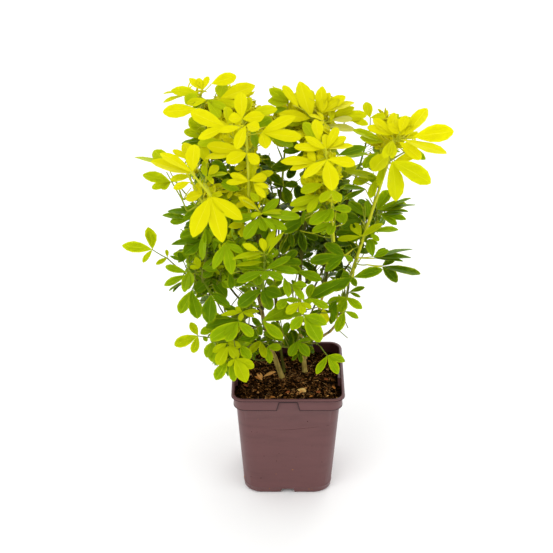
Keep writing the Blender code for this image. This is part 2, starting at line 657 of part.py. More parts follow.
def leaf_mesh(leaf):
    """One closed skin: a three-sided stalk that opens into three flat, pointed leaflets.

    Each leaflet is a fan of six triangles from its thickest point to its edge, over a flat
    underside, and the three share a point above and a point below where they meet.
    """
    stalk = unit(leaf.centre - leaf.root)
    length, width = solid_size(leaf)
    ribs = [(leaf.tips[k] - leaf.centre) * length for k in (2, 0, 1)]
    faces_up = [leaf.faces[k] for k in (2, 0, 1)]
    up = unit(faces_up[1] - stalk * (faces_up[1] @ stalk) * 0.5)
    side = unit(np.cross(stalk, up))
    foot = leaf.root - stalk * STALK_SUNK
    points = [leaf.centre + up * LEAFLET_THICK / 2, leaf.centre - up * LEAFLET_THICK / 2]
    notches = [leaf.centre - stalk + side * STALK_RADIUS]
    for first, second in ((0, 1), (1, 2)):
        between = unit(unit(ribs[first]) + unit(ribs[second]))
        notches.append(leaf.centre + between * MEET_REACH)
    notches.append(leaf.centre - stalk - side * STALK_RADIUS)
    points += notches
    faces = []
    for k, rib in enumerate(ribs):
        across = unit(np.cross(rib, faces_up[k])) * np.linalg.norm(rib) * width / 2
        belly = leaf.centre + rib * LEAFLET_WIDEST
        base = len(points)
        points += [belly + across, leaf.centre + rib, belly - across,
                   belly + faces_up[k] * LEAFLET_THICK]
        edge = [2 + k, base, base + 1, base + 2, 3 + k]
        for first, second in zip(edge, edge[1:]):
            faces += [(base + 3, first, second), (1, second, first)]
        faces += [(base + 3, 0, edge[0]), (base + 3, edge[-1], 0)]
    base = len(points)
    points += [foot + side * STALK_RADIUS, foot - side * STALK_RADIUS,
               foot - up * STALK_RADIUS * STALK_DEPTH]
    faces += [(0, 5, 2), (2, 5, base + 1), (2, base + 1, base), (2, base, base + 2),
              (2, base + 2, 1), (5, 1, base + 2), (5, base + 2, base + 1),
              (base, base + 1, base + 2)]
    return mesh_of(points, faces)


def surface(mesh):
    """A search tree of a mesh's triangles, for finding what touches it."""
    return BVHTree.FromPolygons([v.co.copy() for v in mesh.vertices],
                                [tuple(p.vertices) for p in mesh.polygons])


def leaf_points(leaf):
    """The points of a leaf that show whether it keeps to its mass's space."""
    length, width = solid_size(leaf)
    points = [leaf.centre]
    for tip, face in zip(leaf.tips, leaf.faces):
        rib = (tip - leaf.centre) * length
        across = unit(np.cross(rib, face)) * np.linalg.norm(rib) * width / 2
        belly = leaf.centre + rib * LEAFLET_WIDEST
        points += [leaf.centre + rib, belly + across, belly - across]
    return np.array(points)


def distance_to(points, bones):
    return np.linalg.norm(points[:, None] - bones[None], axis=2).min(axis=1)


def in_own_space(leaf, bones):
    """A mass's space holds the points that are nearer to its own shoots than to any other's."""
    points = leaf_points(leaf)
    own = distance_to(points, bones[leaf.mass])
    return all((distance_to(points, other) > own + LEAF_GAP).all()
               for mass, other in bones.items() if mass != leaf.mass)


def choose_leaves(wanted, candidates, bones, obstacles):
    """The leaves of one mass, up to wanted: those that keep to its space and touch no other solid.

    Leaves that also clear each other come first. Only where they are few, others are added that
    fuse with the ones they cross.
    """
    clear = []
    for leaf in candidates:
        if in_own_space(leaf, bones):
            mesh = leaf_mesh(leaf)
            skin = surface(mesh)
            if not any(skin.overlap(other) for other in obstacles):
                clear.append((mesh, skin))
    chosen, crossing = [], []
    for mesh, skin in clear:
        meets = any(skin.overlap(other) for _, other in chosen)
        (crossing if meets else chosen).append((mesh, skin))
    short = max(0, round(wanted * CROSSING_UP_TO) - len(chosen))
    return chosen[:wanted] + crossing[:short]


def mass_colour(tips):
    height = tips[0][2]
    if height > GOLD_ABOVE:
        return "leaf_gold"
    return "leaf_lime" if height > LIME_ABOVE else "leaf_green"


def make_masses(paths, mats, obstacles):
    """Each mass of foliage as one solid, in a space of its own."""
    shoots, leaves, root_ways = {}, {}, {}
    for mass, (limb, leaflet, _, tips) in MASSES.items():
        root_way = unit(paths[limb][-1] - paths[limb][-2])
        root_ways[mass] = root_way
        shoots[mass] = grow_shoots(tips, paths[limb][-1] + root_way * GAP, root_way)
        grown = grow_leaves(mass, shoots[mass], leaflet)
        leaves[mass] = sorted((leaf for leaf in grown if leaf.pair in PAIR_ORDER),
                              key=lambda leaf: PAIR_ORDER.index(leaf.pair))
    special = [stand_out_leaf(row, shoots[row[0]], number)
               for number, row in enumerate(STAND_OUT_LEAVES)]
    bones = {}
    for mass in MASSES:
        lines = list(shoots[mass])
        for leaf in special:
            if leaf.mass == mass:
                lines += [curve(leaf.root, leaf.centre, (0, 0, 0), 4),
                          curve(leaf.centre, leaf.tips[0], (0, 0, 0), 4)]
        bones[mass] = np.vstack(lines)
    for mass, (_, _, wanted, tips) in MASSES.items():
        first = [leaf for leaf in special if leaf.mass == mass]
        chosen = choose_leaves(wanted, first + leaves[mass], bones, obstacles)
        twigs = []
        for order, shoot in enumerate(shoots[mass]):
            path = shoot[np.linspace(0, len(shoot) - 1, SHOOT_STEPS).astype(int)]
            size = SIDE_SHOOT_SIZE if order else 1.0
            radii = np.linspace(*SHOOT_RADIUS, SHOOT_STEPS) * size
            twigs.append(tube(path, radii, 3, None if order else root_ways[mass]))
        solid = place(mass, twigs[0])
        pieces = twigs[1:] + [mesh for mesh, _ in chosen]
        combine(solid, [place("piece", mesh) for mesh in pieces], "UNION", "MANIFOLD")
        keep_largest_shell(solid.data)
        solid.data.materials.clear()
        solid.data.materials.append(mats[mass_colour(tips)])
        obstacles.append(surface(solid.data))


def main():
    for obj in list(bpy.data.objects):
        bpy.data.objects.remove(obj)
    mats = {name: material(name) for name in COLOURS}
    pot = make_pot(mats["pot_plastic"])
    soil = make_soil(mats["potting_soil"])
    paths = make_limbs(mats["bark"])
    obstacles = [surface(pot.data), surface(soil.data)]
    obstacles += [surface(limb_mesh(name, path, GAP)) for name, path in paths.items()]
    make_masses(paths, mats, obstacles)


main()
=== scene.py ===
"""The looks of a young golden Mexican orange in its square plum-brown nursery pot.

The shrub grows here by the same tables and rule as its solids, carried on to finer twigs and all
its leaves. Places and sizes are in millimetres, +Z up, with the origin under the middle of the
pot. They are turned into metres where a mesh is made.
"""

import json
import math
import random

import bpy
import numpy as np
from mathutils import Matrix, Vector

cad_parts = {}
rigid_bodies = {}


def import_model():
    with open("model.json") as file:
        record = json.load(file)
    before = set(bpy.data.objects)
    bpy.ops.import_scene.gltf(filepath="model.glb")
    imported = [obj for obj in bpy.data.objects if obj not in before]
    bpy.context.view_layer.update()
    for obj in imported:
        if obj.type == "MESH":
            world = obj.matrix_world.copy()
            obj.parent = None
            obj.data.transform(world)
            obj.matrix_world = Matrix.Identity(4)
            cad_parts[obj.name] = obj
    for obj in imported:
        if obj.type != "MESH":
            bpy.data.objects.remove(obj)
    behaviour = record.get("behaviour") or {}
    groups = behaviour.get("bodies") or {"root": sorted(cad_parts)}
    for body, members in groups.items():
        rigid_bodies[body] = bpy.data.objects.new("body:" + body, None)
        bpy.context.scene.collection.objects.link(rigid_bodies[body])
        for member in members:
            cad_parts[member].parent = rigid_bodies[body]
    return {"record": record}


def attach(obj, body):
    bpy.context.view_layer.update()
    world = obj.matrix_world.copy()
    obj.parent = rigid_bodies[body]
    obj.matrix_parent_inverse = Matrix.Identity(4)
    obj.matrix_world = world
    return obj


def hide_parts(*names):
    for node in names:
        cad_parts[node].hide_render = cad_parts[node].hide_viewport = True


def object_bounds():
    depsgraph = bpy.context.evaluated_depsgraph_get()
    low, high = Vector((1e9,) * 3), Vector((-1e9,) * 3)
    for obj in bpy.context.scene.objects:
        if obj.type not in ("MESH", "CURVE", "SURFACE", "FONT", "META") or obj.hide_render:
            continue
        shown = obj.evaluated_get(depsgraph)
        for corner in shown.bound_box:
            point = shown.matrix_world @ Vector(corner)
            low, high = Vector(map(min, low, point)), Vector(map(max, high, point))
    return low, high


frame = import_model()
cad_low, cad_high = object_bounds()

MM = 0.001
UP = np.array([0.0, 0.0, 1.0])
GOLDEN_TURN = math.pi * (3 - math.sqrt(5))

# Camera, as the photo was taken
CAMERA_AIM = (-15.6, 0.0, 310.4)
CAMERA_DISTANCE = 2045.5
CAMERA_PITCH = 28.7    # degrees that it looks down by
CAMERA_LENS = 100.0     # on a 36 mm sensor
SENSOR = 36.0
PHOTO_SIDE = 553        # pixels of the photo's side
PITCH = math.radians(CAMERA_PITCH)
SIGHT = np.array([0.0, math.cos(PITCH), -math.sin(PITCH)])
EAST = np.array([1.0, 0.0, 0.0])
UPRIGHT = np.array([0.0, math.sin(PITCH), math.cos(PITCH)])
EYE = np.array(CAMERA_AIM) - SIGHT * CAMERA_DISTANCE
FOCAL = PHOTO_SIDE * CAMERA_LENS / SENSOR

# Pot, a tapered square with round corners
POT_HEIGHT = 164.0
LIP_HALF = 76.0         # half the side across the rolled lip
LIP_HEIGHT = 4.0
LIP_ROUND = 1.6
BAND_HALF = 73.8        # half the side across the band under the lip
BAND_FOOT = 144.0
BAND_DRAFT = 0.6
WALL_TOP_HALF = 70.0
FOOT_HALF = 60.4
FOOT_ROUND = 3.5
FOOT_LINE = 9.0         # height of the fine step above the foot
WALL = 1.5
FLOOR = 1.8
CORNER_TOP = 16.0
CORNER_FOOT = 25.0
CORNER_STEPS = 14
SIDE_STEPS = 6
TAB_WIDTH_FOOT = 31.5   # the gap in the band at the middle of each side
TAB_WIDTH_TOP = 25.0
TAB_BELOW_LIP = 1.6
NOTCH_WIDTH_FOOT = 20.0
NOTCH_WIDTH_TOP = 16.4
NOTCH_HEIGHT = 7.0
NOTCH_DEPTH = 24.0
SLOT_WIDTH = 3.6
SLOT_LENGTH = 11.0

LIP_LINE, BAND_LINE, TAB_LINE = 0.6, 0.5, 0.7   # radii of the dark lines of painted shade in the pot's corners
SMEAR_LINE = 0.5
POT_SMEAR = [(262, 426), (265.6, 427.6), (270, 428.9), (276, 429.8), (283, 430), (294, 429.4),
             (310, 427.8), (320, 426.6), (329, 425.5)]

# Specks on the pot's front: 0 for orange or 1 for dark, radius, and place in the photo
POT_SPECKS = [
    (0, 0.8, (292.7, 469.6)), (0, 0.7, (244.2, 476.5)), (0, 0.6, (269.5, 488.5)),
    (0, 0.7, (309, 488.8)), (0, 0.5, (312, 489)), (0, 0.5, (276, 474)), (0, 0.4, (258, 419)),
    (1, 0.7, (307.5, 421.5)), (1, 0.6, (264, 456)), (1, 0.6, (276.5, 461)), (1, 0.6, (251, 476.5)),
    (1, 0.7, (261, 478)), (1, 0.5, (279, 453.5)), (1, 0.5, (296, 457)), (1, 0.5, (257, 432)),
    (1, 0.5, (312, 446)), (1, 0.4, (286, 466)), (1, 0.4, (301, 476)), (1, 0.5, (322, 462)),
    (1, 0.5, (251.5, 431.5)), (1, 0.4, (264.5, 432)), (1, 0.4, (247, 441.5)), (1, 0.4, (264, 442)),
]

# Soil
GAP = 0.3
SOIL_TOP = 150.0
SOIL_EDGE_DROP = 1.6
SOIL_SHOULDER = 9.0
SOIL_RELIEF = 1.5       # height of its lumps
CRUMBS, FIBRES = 2300, 560

# Dead leaves and chips on the soil: the finish, the two ends' places in the photo, and the width
DRY_BITS = [
    (0, ((263, 377), (275.5, 371.3)), 4.0), (0, ((257, 373.5), (262, 380.5)), 3.2),
    (1, ((254.5, 376), (260, 379.5)), 2.4), (0, ((260, 372.5), (262.5, 378)), 2.2),
    (3, ((297, 389.5), (306, 392)), 5.4), (0, ((299, 394), (304, 390)), 3.4),
    (1, ((269, 397.3), (275.5, 397.8)), 2.6), (2, ((315.5, 391.5), (320.5, 392.5)), 2.8),
    (2, ((323.5, 379), (328.5, 380)), 2.4), (1, ((309, 397.3), (313, 396)), 1.8),
    (0, ((326, 396.8), (329, 395.6)), 1.4), (2, ((243, 384), (248, 386.5)), 2.0),
    (2, ((285, 393), (290, 391.5)), 2.2), (1, ((332, 386), (335.5, 389)), 2.0),
]

# Limbs
STEM_SIDES = 20
BOUGH_SIDES = 12
LIMB_STEPS = 6
RING_STEP = 1.6         # distance between the rings of a limb's bark
FLARE = 0.30
FLARE_HEIGHT = 7.0
YOUNG_WOOD_FROM = 285.0     # above this height the bark is dark olive: greener young wood, its darkness partly painted shade inside the crown
PALE_LIMBS = ("stem_left", "stem_right", "bough_right_main", "bough_right_low", "bough_low_right")

# Each limb: its parent, then its foot or its share along the parent, its tip, how its middle is
# bowed away from a straight line, and its radius at the base and at the tip.
LIMBS = {
    "stem_left": (None, (-8, 3), (-37, -60, 423), (-32, 24, 0), 3.4, 1.8),
    "stem_twin": (None, (-5, 17), (-8, 32, 438), (-24, 4, 10), 1.9, 1.3),
    "stem_right": (None, (24, 18), (32, 14, 445), (-24, 28, -20), 3.0, 1.6),
    "bough_right_main": ("stem_right", 0.05, (56, -38, 382), (12, 26, 0), 2.1, 1.6),
    "bough_right_low": ("bough_right_main", 0.17, (80, -17, 312), (22, 0, -36), 1.9, 1.6),
    "bough_low_right": ("bough_right_low", 0.72, (64, -32, 269), (-2, -4, -6), 1.2, 1.0),
    "bough_right_side": ("bough_right_main", 0.52, (98, 22, 347), (4, 6, -6), 1.5, 1.1),
    "bough_centre_low": ("bough_right_main", 0.30, (12, -74, 277), (0, -6, -14), 1.5, 1.1),
    "bough_front_low": ("stem_right", 0.16, (10, -24, 214), (0, -8, -6), 1.3, 1.0),
    "bough_top_left": ("stem_left", 0.50, (-99, 10, 477), (-22, 8, -4), 1.8, 1.3),
    "bough_left_front": ("stem_left", 0.60, (-88, -64, 409), (-18, -4, -8), 1.7, 1.2),
    "bough_left": ("stem_left", 0.39, (-92, -30, 345), (-12, 0, -16), 1.5, 1.1),
    "bough_left_low": ("stem_left", 0.30, (-82, -42, 290), (-8, -4, -12), 1.5, 1.1),
    "bough_front_left": ("stem_left", 0.45, (-33, -88, 327), (4, -12, -14), 1.5, 1.1),
    "bough_low_left": ("stem_left", 0.21, (-48, -62, 258), (-4, -8, -12), 1.4, 1.0),
    "bough_pot_left": ("stem_left", 0.12, (-60, -56, 227), (-6, -6, -12), 1.4, 1.0),
    "bough_back_top_left": ("stem_twin", 0.52, (-62, 66, 443), (-10, 10, -10), 1.5, 1.1),
    "bough_back_left": ("stem_twin", 0.38, (-86, 56, 348), (-8, 6, -14), 1.5, 1.1),
    "bough_back": ("stem_twin", 0.30, (-12, 96, 340), (-2, 10, -14), 1.5, 1.1),
    "bough_back_low_left": ("stem_twin", 0.16, (-56, 72, 255), (-4, 6, -12), 1.4, 1.0),
    "bough_back_top": ("stem_right", 0.56, (22, 80, 436), (-2, 12, -8), 1.5, 1.1),
    "bough_back_top_right": ("stem_right", 0.44, (88, 44, 431), (10, 6, -12), 1.6, 1.2),
    "bough_back_right": ("stem_right", 0.32, (70, 84, 345), (6, 10, -14), 1.5, 1.1),
    "bough_back_low_right": ("stem_right", 0.22, (48, 84, 249), (2, 8, -12), 1.4, 1.0),
}

# Each mass of foliage: the limb whose tip carries it, the length of a grown leaflet, how many
# leaves its solid has, and where its shoots end, the leading shoot first.
MASSES = {
    "foliage_upper_left": (
        "stem_left", 40, 11, [(-56, -80, 560), (-36, -104, 453), (-14, -64, 496)]),
    "foliage_top_left": (
        "bough_top_left", 40, 11, [(-111, 10, 566), (-78, 34, 543), (-139, 22, 527)]),
    "foliage_left_front": (
        "bough_left_front", 38, 12, [(-124, -106, 512), (-102, -92, 493), (-143, -44, 471)]),
    "foliage_left": ("bough_left", 38, 9, [(-122, -34, 426), (-108, -58, 399)]),
    "foliage_left_low": (
        "bough_left_low", 36, 10, [(-128, -60, 348), (-110, -82, 369), (-158, -30, 354)]),
    "foliage_front_left": (
        "bough_front_left", 38, 9, [(-30, -130, 412), (-28, -124, 383), (-66, -112, 397)]),
    "foliage_low_left": ("bough_low_left", 34, 8, [(-60, -102, 311), (-34, -98, 294)]),
    "foliage_pot_left": (
        "bough_pot_left", 32, 9, [(-80, -100, 270), (-92, -74, 259), (-66, -108, 256)]),
    "foliage_front_low": (
        "bough_front_low", 28, 7, [(10, -52, 242), (-28, -58, 240), (34, -30, 233)]),
    "foliage_centre_low": (
        "bough_centre_low", 34, 8, [(4, -110, 356), (15, -112, 332), (36, -100, 337)]),
    "foliage_low_right": ("bough_low_right", 32, 7, [(75, -32, 296), (74, -44, 280)]),
    "foliage_right": (
        "bough_right_low", 42, 14, [(131, -50, 530), (151, -48, 518), (100, -32, 390)]),
    "foliage_right_side": ("bough_right_side", 38, 8, [(116, 22, 396), (130, 6, 386)]),
    "foliage_centre": (
        "bough_right_main", 42, 11, [(43, -100, 534), (20, -96, 469), (62, -86, 453)]),
    "foliage_top": ("stem_right", 42, 9, [(40, 0, 538), (68, 14, 520)]),
    "foliage_top_centre": ("stem_twin", 40, 8, [(-2, 30, 531), (-16, 4, 500)]),
    "foliage_back_top_left": ("bough_back_top_left", 42, 9, [(-72, 78, 489), (-106, 66, 469)]),
    "foliage_back_top_right": ("bough_back_top_right", 42, 9, [(106, 50, 504), (82, 96, 468)]),
    "foliage_back_top": ("bough_back_top", 42, 9, [(14, 96, 484), (48, 70, 491)]),
    "foliage_back_left": ("bough_back_left", 42, 9, [(-124, 56, 403), (-98, 98, 385)]),
    "foliage_back": ("bough_back", 42, 9, [(-30, 124, 416), (14, 132, 392)]),
    "foliage_back_right": ("bough_back_right", 42, 9, [(104, 92, 389), (66, 126, 396)]),
    "foliage_back_low_left": ("bough_back_low_left", 38, 8, [(-98, 86, 304), (-52, 112, 289)]),
    "foliage_back_low_right": ("bough_back_low_right", 38, 8, [(58, 104, 299), (20, 118, 284)]),
}

# Leaves that the photo shows one by one. Under each mass: how far the leaf stands behind the
# pot's middle, its tone from 0 (most shaded) to 7 (most sunlit) or 8 where it shows its
# underside, the place in the photo where its leaflets meet, and for each leaflet its tip's place and its width there, all in the photo's pixels.
SEEN_LEAVES = {
    "foliage_upper_left": [
        (-112, 4, (263, 218), (275, 231, 5)),
        (-50, 5, (268, 136), (284, 146.5, 6)),
        (-60, 6, (247, 166), (235, 169, 6), (240, 163, 6)),
        (-30, 2, (228, 172), (213, 161, 9), (214, 175, 8)),
        (-24, 1, (234, 182), (219, 173, 10), (232, 166, 8)),
        (-84, 7, (242, 119), (242, 92, 13.6), (264, 116, 12), (229, 118, 10)),
        (-90, 7, (226, 127), (190, 113.5, 15), (198, 138, 9)),
        (-70, 5, (222, 141), (198, 143, 9)),
        (-64, 4, (252, 128), (271, 118, 10), (256, 147, 8)),
        (-96, 7, (241, 127), (219, 131, 7)),
        (-70, 6, (250, 113), (277, 110, 10)),
        (-96, 7, (246, 125), (259, 129, 11), (236, 148.5, 11)),
        (-76, 6, (229, 125), (226, 107, 9)),
        (-72, 6, (245, 113), (250.5, 97.5, 10)),
        (-88, 7, (261.5, 132.5), (295, 116, 11), (301, 138.5, 12), (266, 148.5, 12)),
        (-60, 4, (273, 139), (293, 146, 8)),
        (-92, 7, (244, 151), (207, 147.5, 12), (205, 158, 8)),
        (-98, 7, (247, 153), (226.5, 162.5, 13), (259, 163, 11)),
        (-100, 7, (249, 181), (226.5, 183, 6), (230.5, 174, 7), (266, 176, 9)),
        (-92, 6, (250, 180), (273, 172, 7), (255, 161, 10)),
        (-102, 7, (254, 184), (264.5, 198, 7), (269, 187, 5)),
        (-104, 7, (258.5, 209), (239, 197, 7), (243, 204, 5)),
        (-98, 5, (250, 192), (258, 201, 7)),
        (-90, 4, (240, 191), (221.5, 183, 11)),
        (-106, 4, (261.5, 214), (279.5, 199.5, 9), (300, 217, 9), (233.5, 222, 8)),
        (-108, 4, (260, 218), (243.5, 238, 12), (264.6, 231, 9), (286.6, 230, 9)),
        (-109, 5, (262, 213), (284, 212, 5), (251, 216, 5)),
    ],
    "foliage_top_left": [
        (10, 7, (203, 90), (189, 78.8, 7), (207.6, 76.5, 6), (198, 78.5, 6)),
        (6, 7, (211, 84), (236, 76, 12.5)),
        (0, 7, (220, 98.5), (255.5, 87, 14)),
        (-2, 6, (212, 101), (239, 104.5, 8)),
        (8, 5, (219.5, 98.5), (223, 84, 13)),
        (10, 6, (199, 93.5), (171.5, 89.5, 10)),
        (6, 5, (198, 93), (185.5, 103.5, 12)),
        (14, 4, (206, 103), (193, 107, 5)),
        (20, 6, (186, 91.5), (163.5, 94, 2)),
        (20, 6, (186, 95), (163, 102, 3.2)),
        (-2, 6, (207, 99.5), (187.5, 104, 8)),
        (-8, 7, (197, 109), (163, 112.5, 14)),
        (2, 5, (207, 99.5), (220, 117, 10), (227, 109, 7)),
        (4, 7, (212, 99), (240, 106, 8)),
    ],
    "foliage_back_top_left": [
        (44, 5, (206, 133), (189, 119, 14)),
        (44, 5, (206, 137), (184.5, 130.5, 9)),
        (48, 3, (207, 139), (188, 143.5, 8), (181.5, 143.5, 3)),
    ],
    "foliage_left_front": [
        (-70, 5, (205, 172), (206, 160, 7)),
        (-60, 7, (192, 160), (184, 143, 12), (172.5, 151, 6)),
        (-84, 6, (207, 164), (201, 145, 11)),
        (-118, 7, (192.6, 172.7), (194, 144.8, 15), (161, 152.5, 9)),
        (-114, 7, (192.6, 174), (150.5, 162.5, 11)),
        (-100, 6, (191, 176), (170.5, 180, 7)),
        (-60, 5, (168, 166), (155, 150, 14), (135.5, 157, 4.5)),
        (-52, 5, (171, 182), (143, 174.5, 11), (152, 187.5, 7), (161.5, 188.7, 7)),
        (-104, 7, (190, 182), (173.6, 188.3, 7)),
        (-100, 5, (206, 177), (227, 173, 4), (211.5, 179, 5), (203, 166, 6)),
        (-98, 6, (208, 175), (218.5, 166.5, 8), (213, 184, 4)),
        (-98, 7, (203, 194), (186, 199, 10), (193, 186, 6)),
        (-120, 7, (210.5, 196.5), (191.5, 236.5, 17), (221, 242.5, 18), (242.5, 219, 14)),
    ],
    "foliage_left": [
        (-28, 2, (196, 212), (168, 211, 5.5), (181, 206, 4)),
        (-32, 3, (189, 219), (163, 214.6, 6), (170.5, 222.5, 8)),
        (-30, 3, (200, 210), (184, 219, 7), (186, 209, 5)),
        (-40, 3, (204, 231), (180.5, 238.5, 13)),
        (-50, 2, (202, 240), (171.4, 243.8, 6), (183.5, 254, 13)),
        (-60, 4, (206, 228), (207, 244, 9), (202, 260, 7)),
    ],
    "foliage_left_low": [
        (-52, 2, (214, 281), (197, 298, 9)),
        (-28, 5, (152.5, 249.5), (122.3, 245, 11), (149.2, 227.4, 11), (142.7, 262, 5)),
        (-30, 5, (167.5, 257.5), (156.5, 264.8, 4.5), (166.5, 250, 3)),
        (-40, 3, (190, 254), (173.5, 254.5, 5), (178, 262, 4)),
        (-60, 4, (187, 272.5), (165.5, 267, 7)),
        (-60, 4, (187, 275), (164.5, 285.5, 7)),
        (-50, 3, (187, 280), (169.5, 291, 1.8), (173, 292, 1.8)),
        (-78, 5, (200, 268), (196, 257.5, 6), (190, 267, 4)),
        (-80, 3, (202, 268), (213.5, 260, 5), (217, 270, 6)),
        (-74, 2, (215, 269), (203, 277, 8)),
        (-50, 2, (184, 262), (170, 256, 3), (178, 253, 5)),
        (-72, 4, (189, 271), (189, 289, 13), (184, 292, 8)),
        (-66, 4, (194, 289), (181, 313.5, 11.5)),
        (-74, 3, (191, 291), (197, 318.5, 13)),
        (-84, 2, (211.3, 294.5), (207.8, 323.5, 15), (229.5, 307.5, 8)),
        (-80, 2, (211, 292), (227, 301, 6)),
        (-60, 2, (211, 279), (195, 291, 12), (227, 297, 11)),
    ],
    "foliage_front_left": [
        (-86, 3, (263, 279), (245, 286.5, 6)),
        (-60, 3, (276, 288), (266, 279, 6), (281, 279, 6)),
        (-70, 2, (270, 226), (254, 233, 7), (264, 238, 9)),
        (-40, 1, (290, 231), (283, 254, 9), (292, 247, 6)),
        (-124, 4, (225.6, 243.5), (214.3, 269, 9), (231.5, 274, 11.5), (243.3, 252, 7)),
        (-100, 2, (230, 273), (231, 288.5, 7.5)),
        (-92, 2, (251, 279), (232.5, 284, 8)),
        (-60, 2, (292, 263), (277, 272, 9), (299, 274, 8)),
        (-80, 2, (291, 283), (278.5, 297.5, 8), (283, 285, 5)),
        (-136, 6, (264, 252), (261.7, 238.5, 7.5)),
        (-134, 5, (264.6, 253), (274.5, 230.5, 7), (233, 259.8, 5)),
        (-137, 6, (259, 251), (242.5, 245, 6.5)),
        (-141, 5, (268, 254), (284, 232, 4.2)),
        (-138, 5, (263, 256), (247, 259, 3.6)),
        (-132, 5, (264, 262), (236, 266, 4)),
        (-118, 3, (270, 268), (298, 272, 8)),
        (-128, 3, (266, 270), (290, 256, 7), (237, 266.5, 5.5)),
        (-130, 3, (265, 271), (237, 281.5, 9), (264.6, 279.5, 7), (283, 279, 8)),
        (-84, 2, (282, 263), (301, 262, 8), (297, 251, 8), (276, 268, 8)),
        (-112, 3, (256, 272), (258, 285, 9)),
        (-96, 2, (262, 288.5), (239, 307, 13), (270, 310, 12), (281, 295, 13)),
        (-88, 3, (250, 289), (241, 309, 9)),
    ],
    "foliage_low_left": [
        (-70, 2, (263, 330), (252, 318, 6), (257, 333, 8)),
        (-104, 5, (242, 312), (221.5, 315, 5), (259, 311, 3.5), (254, 316.7, 4)),
        (-106, 5, (242, 312), (241, 320.5, 5), (236, 307, 4)),
        (-92, 2, (241, 312), (223.5, 307, 6.5)),
        (-118, 4, (238, 321.3), (211, 340.5, 13), (226, 341, 12), (253.3, 335.5, 9.5)),
        (-96, 2, (237, 319), (206, 328, 10)),
        (-90, 4, (214, 327), (201, 334, 8)),
        (-96, 3, (232, 318), (213, 316.5, 4)),
        (-92, 2, (259, 337), (240, 340.5, 8), (252, 330, 7)),
        (-100, 4, (262.5, 321), (303, 315.5, 8), (285, 310, 11), (282, 339.5, 10)),
    ],
    "foliage_pot_left": [
        (-72, 5, (198, 335.6), (190.3, 322.8, 7.5), (174.5, 344.8, 11), (194, 352.8, 8)),
        (-70, 4, (203, 336), (207, 341, 4)),
        (-104, 5, (227, 343), (240.5, 346.5, 8), (213, 352.3, 7)),
        (-108, 5, (228, 346), (217.5, 364.5, 11), (238, 358.5, 10)),
        (-96, 4, (213, 341.5), (206, 357, 10), (213, 362, 9)),
        (-100, 4, (240, 345), (249.5, 359, 10)),
        (-112, 4, (226.5, 361), (216.5, 380, 11)),
        (-112, 4, (231, 363), (234, 381, 8)),
        (-118, 5, (235, 358.5), (246, 382, 13.5), (254, 366.5, 9), (228, 366, 4)),
    ],
    "foliage_front_low": [
        (-40, 2, (283, 337), (272, 322, 7), (289, 323, 7)),
        (-56, 5, (260, 340.5), (250, 353, 7), (264, 357.5, 7)),
        (-60, 4, (267, 346.5), (270.5, 363, 7.5), (281, 348, 7.5)),
        (-50, 3, (297.5, 341), (290.5, 356, 9), (308.5, 356, 9.5), (311, 340, 5)),
        (-24, 1, (291, 332), (287.5, 348, 11)),
        (-28, 1, (298, 346), (292, 330, 9), (281, 330, 5)),
        (-66, 4, (327.7, 355.5), (317, 374, 7), (338.5, 373.5, 8.5), (345, 360.7, 7.5)),
        (-40, 3, (263, 331.5), (283, 341, 7)),
    ],
    "foliage_centre_low": [
        (-50, 2, (336, 300), (329, 310, 6), (333, 322, 7)),
        (-112, 4, (292, 284.5), (306.5, 286, 7.5), (304, 300, 6.5)),
        (-108, 4, (284, 277.5), (289.5, 297, 7)),
        (-116, 5, (300, 302), (286.5, 313.5, 9), (303.5, 313.5, 7), (311, 308, 5)),
        (-112, 4, (302, 301), (286, 299.5, 5), (312, 301, 4)),
        (-60, 6, (323, 308), (324.5, 324.5, 9)),
        (-58, 1, (334, 312), (331, 324, 5), (311, 313, 5)),
        (-106, 4, (288, 298), (277.5, 308.5, 9)),
        (-104, 4, (308.6, 298.5), (311.5, 284.3, 8), (328, 308, 7.5)),
        (-124, 4, (304, 315.5), (291, 329.5, 10), (320.5, 341.5, 15), (326.5, 324.5, 11)),
        (-70, 3, (297, 271), (321.5, 279, 9.5)),
    ],
    "foliage_low_right": [
        (-40, 4, (346, 297), (328, 303.3, 7), (361.5, 309, 8), (341, 312.5, 10)),
        (-52, 4, (344.5, 311), (337.5, 332, 9.5), (358, 318.5, 5)),
        (-40, 3, (346, 305), (328, 313, 5)),
        (-20, 2, (349, 292), (364.5, 287.5, 4.5), (360, 297.5, 3)),
        (-36, 2, (350, 276), (356.5, 286, 6), (343, 275, 8)),
    ],
    "foliage_right": [
        (-62, 3, (344.5, 255.5), (353, 261, 5)),
        (-40, 4, (378, 184), (368, 176, 7), (372, 188, 6)),
        (-52, 7, (392, 135.5), (368, 126, 8), (372.5, 119.5, 9), (393, 113, 10)),
        (-58, 7, (402, 135), (397, 119, 9), (388, 125, 8), (412, 124, 9)),
        (-60, 7, (400, 132), (407, 116, 10)),
        (-58, 7, (405, 139), (420, 134, 6)),
        (-62, 7, (405, 136), (428, 109, 14)),
        (-66, 7, (413, 137), (453.5, 130.8, 18)),
        (-64, 7, (402, 139.5), (446, 154.5, 9)),
        (-64, 7, (399, 141.5), (420.6, 159.2, 11.5)),
        (-60, 6, (392, 140), (392.5, 158.3, 9), (385.5, 158.3, 9)),
        (-40, 4, (405, 147), (425.5, 159, 8)),
        (-70, 7, (394, 161), (415, 156, 8)),
        (-56, 6, (389, 153), (372, 170.5, 16)),
        (-40, 5, (384, 163), (378.5, 186, 7)),
        (-30, 4, (378, 152), (364, 168, 10)),
        (-78, 6, (391.8, 161.2), (397, 201, 17), (431.5, 181.5, 18)),
        (-36, 5, (377, 178), (369.8, 197.6, 8)),
        (-20, 5, (344, 171), (377, 177.5, 7), (356, 166, 7)),
        (-24, 5, (371, 179.5), (353, 183, 8)),
        (-14, 3, (366, 189), (340, 187, 5), (344, 199, 5)),
        (-12, 3, (369, 218), (349, 202, 9), (367, 201, 7)),
